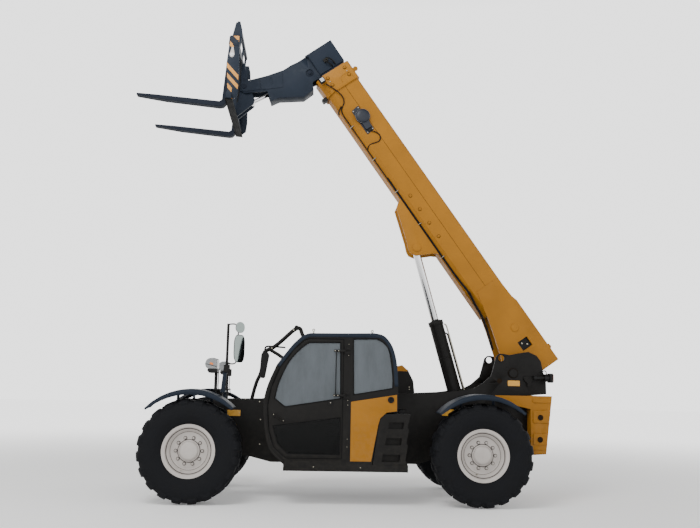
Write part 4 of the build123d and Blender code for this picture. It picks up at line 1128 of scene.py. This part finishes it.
def dressCab():
    for side, y in (("Left", cabLeft + 0.010), ("Right", -0.450)):
        addBand("cabTopBand" + side, throughPoints(cabTop), y, 0.052, 0.016, bluePaint)
        addBand("cabFrontBand" + side, throughPoints(cabFront), y, 0.040, 0.015, blackPaint)
    upper = throughPoints(upperDoorCurve).tolist() + upperDoorGlass
    addLoop("upperDoorSeal", upper, cabLeft + 0.008, 0.016, 0.008, sealRubberAndShade, "cab_door", cornerRadius=0.03)
    addLoop(
        "lowerDoorSeal", lowerDoorGlass, cabLeft + 0.008, 0.013, 0.007, sealRubberAndShade, "cab_door",
        cornerRadius=0.05,
    )
    quarter = throughPoints(quarterCurve).tolist() + quarterGlass
    addLoop("quarterSeal", quarter, cabLeft + 0.008, 0.016, 0.008, sealRubberAndShade, cornerRadius=0.04)
    addLoop("rightWindowSeal", rightGlass, cabRight, 0.013, 0.007, sealRubberAndShade, cornerRadius=0.04)
    curve = throughPoints(doorOutline[1:9]).tolist() + doorOutline[9:] + doorOutline[:1]
    addLoop("doorJambSeal", curve, cabLeft + 0.004, 0.006, 0.006, sealRubberAndShade, cornerRadius=0.02)
    hingeBolts = onFrame([1.872, 1.920, 1.872, 1.920], -1.152, [2.010, 2.010, 1.423, 1.423])
    addLathes("hingeBolts", hingeBolts, leftward, 0.007, 0.005, zincBolt, "cab_door")
    stay = [(1.890, -1.150, 1.41), (1.890, -1.150, 2.02)]
    addRun("doorStay", stay, 0.007, blackPlastic, "cab_door", sharp=True)
    addBlock("doorLatch", (1.800, -1.146, 1.300), (1.850, -1.130, 1.350), blackPlastic, "cab_door")
    addLathes("latchButton", onFrame(1.826, -1.146, 1.327), leftward, 0.007, 0.006, zincBolt, "cab_door")
    addLathes(
        "handlePins", onFrame([1.085, 1.215], -1.181, [1.163, 1.085]), leftward, 0.006, 0.004, zincBolt,
        "cab_door",
    )
    cap = onFrame(2.627, cabLeft, 1.377)
    addDisc(
        "fillerCap", cap, (0, -1, 0),
        [(0.042, 0.0), (0.042, 0.012), (0.038, 0.016), (0.024, 0.016), (0.022, 0.010), (0.0, 0.010)],
        blackPlastic,
    )
    addBlock("fillerCapGrip", (2.600, cabLeft - 0.020, 1.371), (2.654, cabLeft - 0.008, 1.383), blackPlastic)
    for index, x in enumerate((1.582, 2.390), 1):
        addTorus(f"roofEye{index}", onFrame(x, -0.80, 2.300), (0, 1, 0), 0.015, 0.006, zincBolt)
        stem = [(x, -0.80, 2.228), (x, -0.80, 2.290)]
        addRun(f"roofEyeStem{index}", stem, 0.009, zincBolt, sharp=True)
    seamBolts = onFrame(2.055, cabLeft, [2.10, 1.95, 1.36, 1.30, 0.86, 0.76])
    addBolts("pillarBolts", seamBolts, leftward, 0.005, 0.004, zincBolt)
    # windscreen wiper on its arm
    wiper = [(1.010, -0.78, 1.10), (0.965, -0.77, 1.20), (0.972, -0.74, 1.38), (1.000, -0.72, 1.52)]
    addRun("wiperArm", wiper, 0.006, blackPlastic)
    blade = [(0.950, -0.80, 1.18), (0.962, -0.77, 1.38), (1.012, -0.70, 1.60), (1.060, -0.66, 1.72)]
    addRun("wiperBlade", blade, 0.008, sealRubberAndShade)


def cushionSurface(name, centre, half, turn, power=0.42, crown=0.10, channels=4):
    # superellipsoid: each half size times a soft power, crowned and pressed in along sewn channels
    u = np.linspace(0, 2 * math.pi, 96, endpoint=False)[:, None]
    v = np.linspace(-math.pi / 2, math.pi / 2, 49)[None, :]
    x = half[0] * softPower(np.cos(v), power) * softPower(np.cos(u), power)
    y = half[1] * softPower(np.cos(v), power) * softPower(np.sin(u), power)
    z = half[2] * softPower(np.sin(v), 0.7) * np.ones_like(u)
    # crown: higher in the middle; channels: narrow valleys across y
    lift = crown * half[2] * (1 - (x / half[0]) ** 2) * (1 - (y / half[1]) ** 2)
    valley = 0.09 * half[2] * np.exp(-((np.sin(math.pi * channels * (y / half[1] + 1) / 2) / 0.18) ** 2))
    z = z + np.where(z > 0, lift - valley * (z / half[2]), 0)
    c, s = math.cos(turn), math.sin(turn)
    turned = np.stack([x * c + z * s, y, -x * s + z * c], -1)
    piece = addMesh(name, (turned + centre).reshape(-1, 3), gridFaces(96, 49, True), seatCloth, "chassis")
    fixNormals(piece)
    return piece


def fitOutInside():
    low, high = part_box("seat")
    middleY = (low.y + high.y) / 2
    cushionMiddle = onFrame(2.055, middleY, 0.885)
    backMiddle = onFrame(2.365, middleY, 1.290)
    cushion = cushionSurface("seatCushion", cushionMiddle, (0.262, 0.238, 0.070), 0.0)
    back = cushionSurface("seatBack", backMiddle, (0.322, 0.228, 0.048), math.radians(-102))
    base = addBlock(
        "seatBase", (1.905, middleY - 0.178, 0.578), (2.238, middleY + 0.178, 0.812), blackPlastic,
        edge=0.01,
    )
    for piece in (cushion, back, base):
        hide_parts("seat")
    for side, tag in bothSides:
        rest = middleY + side * 0.222
        addBlock(
            "armRest" + tag, (2.02, rest - 0.026, 1.085), (2.30, rest + 0.026, 1.125), blackPlastic,
            edge=0.012,
        )
    dash = [(1.120, 0.930), (1.200, 1.100), (1.360, 1.130), (1.380, 1.060), (1.300, 0.900)]
    sidePlate("dashPanel", dash, -1.05, middleY - 0.07, greyPlastic, edge=0.012)
    sidePlate("dashPanelRight", dash, middleY + 0.07, -0.50, greyPlastic, edge=0.012)
    console = [(1.72, 0.60), (1.78, 1.00), (2.20, 1.02), (2.30, 0.60)]
    sidePlate("sideConsole", console, -0.52, -0.485, greyPlastic, edge=0.008)
    lever = [(1.84, -0.505, 1.0), (1.83, -0.505, 1.10), (1.82, -0.51, 1.16)]
    addRun("joystick", lever, 0.010, blackPlastic)
    addDisc("joystickKnob", onFrame(1.82, -0.51, 1.15), (0, 0, 1), domed(0.022, 0.06, 0.5), blackPlastic)


# Lamps, mirrors and the bent guard ahead of the cab.

mirrorTurn = math.radians(-48)
guardY = -0.398


def dressLamps():
    for side, tag in bothSides:
        shell = roundedOutline([
            (0.296, 1.742), (0.296, 1.866), (0.262, 1.892), (0.190, 1.890), (0.148, 1.866), (0.128, 1.808),
            (0.144, 1.762), (0.176, 1.742),
        ], 0.018)
        low, high = sorted((side * 0.642, side * 0.906))
        sidePlate("headlampShell" + tag, shell, low, high, lampShell, edge=0.014, segments=3)
        under = roundedOutline([
            (0.300, 1.690), (0.300, 1.744), (0.170, 1.744), (0.160, 1.726), (0.186, 1.690),
        ], 0.012)
        sidePlate(
            "headlampBase" + tag, under, low + 0.004, high - 0.004, blackPlastic, edge=0.008, segments=3,
        )
        lens = roundedOutline([
            (0.142, 1.770), (0.1255, 1.808), (0.145, 1.856), (0.152, 1.850), (0.136, 1.808), (0.150, 1.774),
        ], 0.004)
        sidePlate("headlampLens" + tag, lens, low + 0.02, high - 0.02, lampGlass, edge=0.002)
        trim = roundedOutline([(0.150, 1.812), (0.146, 1.806), (0.290, 1.770), (0.292, 1.778)], 0.002)
        sidePlate("headlampTrim" + tag, trim, side * 0.905, side * 0.9085, blackPlastic)
        amber = roundedOutline([(0.196, 1.806), (0.240, 1.796), (0.242, 1.820), (0.198, 1.830)], 0.004)
        sidePlate("indicatorLens" + tag, amber, side * 0.902, side * 0.910, amberGlass, edge=0.002)
        red = roundedOutline([(4.974, 1.664), (4.974, 1.766), (4.984, 1.766), (4.984, 1.664)], 0.003)
        sidePlate("tailLens" + tag, red, side * 0.450, side * 0.572, redGlass, edge=0.003)
        sidePlate(
            "tailIndicator" + tag, red + [0.001, 0.0], side * 0.520, side * 0.572, amberGlass, edge=0.002,
        )
        wire = [
            (0.300, side * 0.760, 1.70), (0.310, side * 0.768, 1.60), (0.300, side * 0.765, 1.50),
            (0.320, side * 0.74, 1.44), (0.34, side * 0.60, 1.43),
        ]
        addRun("headlampWire" + tag, wire, 0.006, hoseRubber)


def mirrorHead(name, centre, size, material, power):
    # a rounded shell behind a flat face: (y, z) outline |a|^power, depth falling off towards the rim
    u = np.linspace(0, 2 * math.pi, 64, endpoint=False)[:, None]
    r = np.linspace(0, 1, 14)[None, :]
    a = size[0] / 2 * r * softPower(np.cos(u), power)
    b = size[1] / 2 * r * softPower(np.sin(u), power)
    depth = -size[2] * np.sqrt(np.maximum(1 - r**4, 0)) * np.ones_like(u)
    shell = np.stack([depth, a, b], -1)
    face = np.stack([np.full_like(a, 0.004) * np.ones_like(u), a * 0.95, b * 0.95], -1)
    c, s = math.cos(mirrorTurn), math.sin(mirrorTurn)

    def turned(points):
        x, y, z = (points[..., k] for k in range(3))
        return np.stack([x * c - y * s, x * s + y * c, z], -1) + centre

    points = turned(shell).reshape(-1, 3)
    faces = gridFaces(64, 14, True).tolist() + [[index * 14 + 13 for index in range(64)]]
    body = addMesh(name + "Shell", points, faces, material, "chassis")
    fixNormals(body)
    rim = turned(face)
    glass = addMesh(name + "Face", rim[:, -1], [list(range(64))], mirrorFace, "chassis", smooth=False)
    fixNormals(glass)
    return body


def buildMirrors():
    post = [(0.350, 1.428), (0.408, 1.428), (0.432, 1.760), (0.380, 1.760)]
    first = sidePlate("mirrorPost", post, -0.880, -0.830, bluePaint, edge=0.010, segments=3)
    addBlock("mirrorPostArm", (0.345, -0.86, 1.432), (0.385, -0.388, 1.456), bluePaint)
    addBlock("mirrorPostFoot", (0.345, -0.425, 1.335), (0.385, -0.412, 1.456), bluePaint)
    pole = [(0.421, -0.872, 1.740), (0.421, -0.872, 2.358)]
    second = addRun("mirrorPole", pole, 0.018, castBlack, sharp=True)
    top = [
        (0.421, -0.872, 2.345), (0.450, -0.89, 2.352), (0.520, -0.945, 2.350), (0.560, -0.975, 2.325),
        (0.572, -0.985, 2.28), (0.566, -0.982, 2.18), (0.560, -0.980, 2.10),
    ]
    addRun("mirrorArmTop", top, 0.009, castBlack)
    low = [
        (0.421, -0.872, 1.835), (0.460, -0.90, 1.815), (0.520, -0.945, 1.812), (0.556, -0.975, 1.835),
        (0.566, -0.982, 1.90),
    ]
    addRun("mirrorArmLow", low, 0.009, castBlack)
    third = mirrorHead(
        "largeMirror", onFrame(0.592, -1.000, 2.017), (0.180, 0.372, 0.030), blackPlastic, 0.55,
    )
    fourth = mirrorHead("roundMirror", onFrame(0.595, -1.000, 2.300), (0.150, 0.150, 0.034), lampShell, 0.92)
    addBlock("mirrorClamp", (0.384, -0.900, 1.700), (0.462, -0.842, 1.800), castBlack, edge=0.008)
    addBlock("mirrorClampWing", (0.440, -0.895, 1.650), (0.490, -0.855, 1.745), castBlack, edge=0.008)
    for piece in (first, second, third, fourth):
        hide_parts("mirrors")


def buildGuard():
    y = guardY
    main = [(0.741, y, 1.345), (0.785, y, 1.560), (0.855, y, 1.700), (0.880, y, 1.860), (0.898, y, 2.020)]
    lower = addRun("guardLower", main, 0.026, blackPaint)
    upper = [
        (0.898, y, 2.015), (0.960, y, 2.040), (1.071, y, 2.102), (1.338, y, 2.366), (1.400, y, 2.340),
        (1.409, cabRight, 2.290), (1.440, -0.458, 2.225),
    ]
    arm = addRun("guardUpper", upper, 0.028, blackPaint)
    housing = roundedOutline([
        (0.832, 1.645), (0.912, 1.630), (0.968, 1.975), (0.905, 2.030), (0.852, 1.985),
    ], 0.035)
    shell = sidePlate(
        "guardMirrorHousing", housing, y - 0.028, y + 0.055, blackPlastic, edge=0.014, segments=3,
    )
    bent = [
        (0.900, y, 1.99), (0.896, y, 2.060), (0.925, y, 2.086), (1.000, y, 2.084), (1.100, y, 2.078),
        (1.190, y, 2.073),
    ]
    addRun("guardRod", bent, 0.012, castBlack)
    link = [(0.960, y, 2.045), (1.040, y, 2.000), (1.100, -0.43, 1.965), (1.150, -0.452, 1.93)]
    addRun("guardLink", link, 0.024, blackPaint)
    addDisc("guardKnuckle", onFrame(1.338, y - 0.02, 2.360), (0, -1, 0), domed(0.030, 0.016), castBlack)
    addLathes("guardBolts", onFrame([1.0, 1.3], y - 0.016, [2.06, 2.32]), leftward, 0.011, 0.012, zincBolt)
    for piece in (lower, arm, shell):
        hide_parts("cab_guard")


# Frame: bolts, blank plates, pin keepers, tail lamps, weight ribs, hood panels and tank filler.

plateHalf = 0.412
tailLampY = 0.51


def dressFrame():
    plateY = -plateHalf
    bolts = onFrame([0.852, 0.874, 0.873, 0.657], plateY, [1.311, 1.065, 0.730, 1.345])
    addBolts("frameBolts", bolts, leftward, 0.010, 0.009, zincBolt)
    sill = onFrame([1.623, 2.236], cabLeft, [0.499, 0.497])
    addLathes("sillBolts", sill, leftward, 0.007, 0.005, zincBolt)
    blankPlates = (
        ((0.408, 1.108), (0.592, 1.190)), ((3.423, 1.160), (3.591, 1.250)),
        ((4.367, 1.596), (4.540, 1.672)),
    )
    for index, (low, high) in enumerate(blankPlates, 1):
        outline = roundedOutline([low, (high[0], low[1]), high, (low[0], high[1])], 0.008)
        sidePlate(f"blankPlate{index}", outline, plateY - 0.0025, plateY, yellowPlate, edge=0.0008)
        rivets = onFrame([low[0] + 0.014, high[0] - 0.014], plateY - 0.0025, (low[1] + high[1]) / 2)
        addLathes(f"plateRivets{index}", rivets, leftward, 0.005, 0.003, zincBolt)
    for side, tag in bothSides:
        out = (0, side, 0)
        y = side * 0.426
        addDisc("pivotPinCap" + tag, onFrame(4.445, y, 1.775), out, domed(0.060, 0.008), blackPaint)
        addTorus(
            "pivotPinGroove" + tag, onFrame(4.445, side * 0.4135, 1.775), (0, 1, 0), 0.068, 0.004, seamDirtAndShade,
        )
        heads = onFrame([4.345, 4.365], side * plateHalf, [1.83, 1.86])
        addBolts("keeperBolts" + tag, heads, (0, side, 0), 0.010, 0.007, castBlack)
        addDisc("towerPlug" + tag, onFrame(4.248, side * 0.405, 1.663), out, domed(0.036, 0.006), seamDirtAndShade)
        hook = roundedOutline([
            (4.585, 1.705), (4.600, 1.735), (4.720, 1.728), (4.735, 1.690), (4.705, 1.665), (4.680, 1.600),
            (4.640, 1.585), (4.640, 1.640), (4.600, 1.670),
        ], 0.012)
        sidePlate("towerHook" + tag, hook, side * 0.412, side * 0.452, castBlack, edge=0.006)
        stalk = [(4.735, side * 0.47, 1.712), (4.800, side * 0.49, 1.716), (4.870, side * tailLampY, 1.716)]
        addRun("tailStalk" + tag, stalk, 0.024, castBlack)
        addDisc(
            "tailLampBody" + tag, onFrame(4.862, side * tailLampY, 1.716), (1, 0, 0),
            domed(0.054, 0.118, 0.2), blackPlastic,
        )
        addDisc(
            "tailLampLens" + tag, onFrame(4.976, side * tailLampY, 1.716), (1, 0, 0),
            domed(0.046, 0.012, 0.6), redGlass,
        )
        wire = [
            (4.90, side * 0.50, 1.765), (4.905, side * 0.49, 1.80), (4.885, side * 0.47, 1.825),
            (4.84, side * 0.44, 1.80),
        ]
        addRun("tailWire" + tag, wire, 0.007, hoseRubber)
        for index, (low, high) in enumerate(
            ((1.369, 1.436), (1.090, 1.258), (0.790, 0.945), (0.670, 0.715)), 1,
        ):
            edgeX = [4.851 + (z - 0.665) * 0.1203 - 0.012 for z in (low, high)]
            rib = roundedOutline([(4.672, low), (edgeX[0], low), (edgeX[1], high), (4.672, high)], 0.010)
            sidePlate(
                f"weightRib{tag}{index}", rib, side * 0.598, side * 0.614, yellowPaint, edge=0.006,
                segments=3,
            )
        for index, (x, z) in enumerate(((4.774, 1.165), (4.765, 0.863)), 1):
            addDisc(
                f"weightPlug{tag}{index}", onFrame(x, side * 0.6125, z), out,
                [(0.042, 0.0), (0.042, 0.004), (0.034, 0.003), (0.0, 0.002)], seamDirtAndShade,
            )
            addTorus(
                f"weightPlugRim{tag}{index}", onFrame(x, side * 0.614, z), (0, 1, 0), 0.044, 0.005,
                yellowPaint,
            )
        addDisc("basePinCap" + tag, onFrame(3.792, side * 0.422, 1.080), out, domed(0.052, 0.008), blackPaint)
        addTorus(
            "liftingEyeRim" + tag, onFrame(4.277, side * 0.412, 1.986), (0, 1, 0), 0.050, 0.005, blackPaint,
        )
        for index, (end, x) in enumerate((("front", 0.0), ("rear", wheelbase)), 1):
            heads = onFrame(
                [x - 0.09, x + 0.09, x - 0.09, x + 0.09], side * 0.436, [0.715, 0.715, 0.760, 0.760],
            )
            addBolts(f"axlePadBolts{tag}{index}", heads, (0, side, 0), 0.014, 0.012, zincBolt)
            cap = onFrame(x, side * 0.83, 0.868)
            addDisc(
                f"kingpinCap{tag}{index}", cap, (0, 0, 1), domed(0.045, 0.010), castBlack,
                "steering_" + end + "_" + tag.lower(),
            )
    # hood: dark panels on its boom side and rear, with slats, bolts and latches
    panel = [
        (1.90, 1.452), (2.290, 1.520), (2.690, 1.700), (2.765, 1.792), (3.045, 1.792), (3.119, 1.645),
        (3.139, 1.462), (3.100, 1.452),
    ]
    sidePlate("hoodSidePanel", panel, 0.4490, 0.4520, blackPaint, "engine_hood", onFrame)
    rear = [(3.030, 1.814), (3.036, 1.818), (3.1210, 1.645), (3.140, 1.480), (3.134, 1.480), (3.115, 1.645)]
    sidePlate("hoodRearPanel", rear, 0.449, 1.110, blackPaint, "engine_hood", onFrame)
    for index in range(7):
        z = 1.52 + 0.036 * index
        x = 3.134 - max(0.0, z - 1.645) * 0.48 - (z - 1.48) * 0.08
        addBlock(
            f"hoodSlat{index + 1}", (x - 0.004, 0.500, z), (x + 0.010, 1.080, z + 0.012), castBlack,
            "engine_hood", edge=0.002,
        )
    hoodBolts = onFrame(3.060, 0.4495, [1.555, 1.520])
    addBolts("hoodBolts", hoodBolts, leftward, 0.009, 0.006, zincBolt, "engine_hood")
    for index, y in enumerate((0.56, 1.02), 1):
        addBlock(
            f"hoodLatch{index}", (1.000, y - 0.03, 1.150), (1.016, y + 0.03, 1.215), blackPlastic,
            edge=0.004,
        )
    # filler on the tank behind the cab
    addDisc("tankCap", onFrame(2.790, -0.905, 1.215), (0, -1, 0), domed(0.044, 0.03), blackPlastic)
    lever = [(2.66, -0.95, 1.20), (2.70, -0.95, 1.245), (2.76, -0.95, 1.262), (2.86, -0.95, 1.255)]
    addRun("tankCapChain", lever, 0.008, castBlack)


def dressFenders():
    for corner in corners:
        side = 1 if "right" in corner else -1
        centreX = joints["steer_" + corner]["pos_m"][0] - frontAxleX
        low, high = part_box("tyre_" + corner)
        centreZ = (low.z + high.z) / 2
        front, rear = math.radians(fenderValues["frontEnd"]), math.radians(fenderValues["rearEnd"])
        angle = np.linspace(front, rear, 60)[:, None]
        # skin across the fender: flat band, rolled edge, then a skirt whose depth grows to the middle
        middle = np.cos(angle / front * math.pi / 2) ** 0.6
        skirt = fenderValues["skirt"] + fenderValues["skirtGrowth"] * middle
        across = np.array(
            [0.848, 0.90, 1.00, 1.10, 1.180, 1.210, 1.224, 1.2305, 1.2315, 1.2315, 1.224, 1.224]
        )[None, :]
        drop = np.array([0.0, 0.0, 0.0, 0.001, 0.004, 0.009, 0.016, 0.026, 0.030, 0.0, 0.0, 0.030])[None, :]
        step = np.arange(12)[None, :]
        radius = fenderValues["radius"] - np.where((step == 9) | (step == 10), skirt, drop)
        points = onFrame(
            centreX - radius * np.sin(angle), side * (across + 0 * angle), centreZ + radius * np.cos(angle),
        )
        piece = addMesh(
            "fenderSkin_" + corner, points.reshape(-1, 3), gridFaces(60, 12), bluePaint,
            "steering_" + corner,
        )
        solid = piece.modifiers.new("thickness", "SOLIDIFY")
        solid.thickness = fenderValues["sheet"]
        fixNormals(piece)


def dressCylinders():
    base = np.array(joints["lift_barrel_swing"]["pos_m"])
    along = np.array(joints["lift_rod_slide"]["axis"])
    along /= np.linalg.norm(along)
    out = np.cross(along, [0.0, 1.0, 0.0])
    out *= -1 if out[0] < 0 else 1

    def onBarrel(s, y, r):
        # s along the barrel from its base pin, r out from its axis
        return placed(base, along, out, s, y, r)

    pipe = [(1.43, 0.112), (1.42, 0.135), (1.36, 0.140), (0.80, 0.140), (0.30, 0.140), (0.22, 0.150)]
    addRun("liftPipe", [(s, -0.035, r) for s, r in pipe], 0.011, zincBolt, "lift_barrel", onBarrel)
    pipe = [(1.30, 0.104), (1.29, 0.130), (1.24, 0.135), (0.60, 0.135), (0.30, 0.135), (0.22, 0.145)]
    addRun("liftPipeSecond", [(s, 0.035, r) for s, r in pipe], 0.011, castBlack, "lift_barrel", onBarrel)
    for index, s in enumerate((0.45, 0.95), 1):
        addTorus(f"liftBand{index}", onBarrel(s, 0, 0), along, 0.104, 0.006, castBlack, "lift_barrel")
    addTorus("liftWiper", onBarrel(1.505, 0, 0), along, 0.066, 0.010, sealRubberAndShade, "lift_barrel")
    addTorus("liftGlandEdge", onBarrel(1.445, 0, 0), along, 0.1085, 0.004, blackPaint, "lift_barrel")
    tiltBase = np.array(joints["tilt_barrel_swing"]["pos_m"])
    tiltAlong = np.array(joints["tilt_rod_slide"]["axis"])
    tiltAlong /= np.linalg.norm(tiltAlong)
    addTorus("tiltWiper", tiltBase + tiltAlong * 0.690, tiltAlong, 0.034, 0.006, sealRubberAndShade, "tilt_barrel")


dressBoom()
dressJib()
dressCarriage()
print("stage: boom and carriage")
dressCab()
fitOutInside()
dressLamps()
buildMirrors()
buildGuard()
dressFrame()
dressFenders()
dressCylinders()
print("stage: cab, frame and fittings")
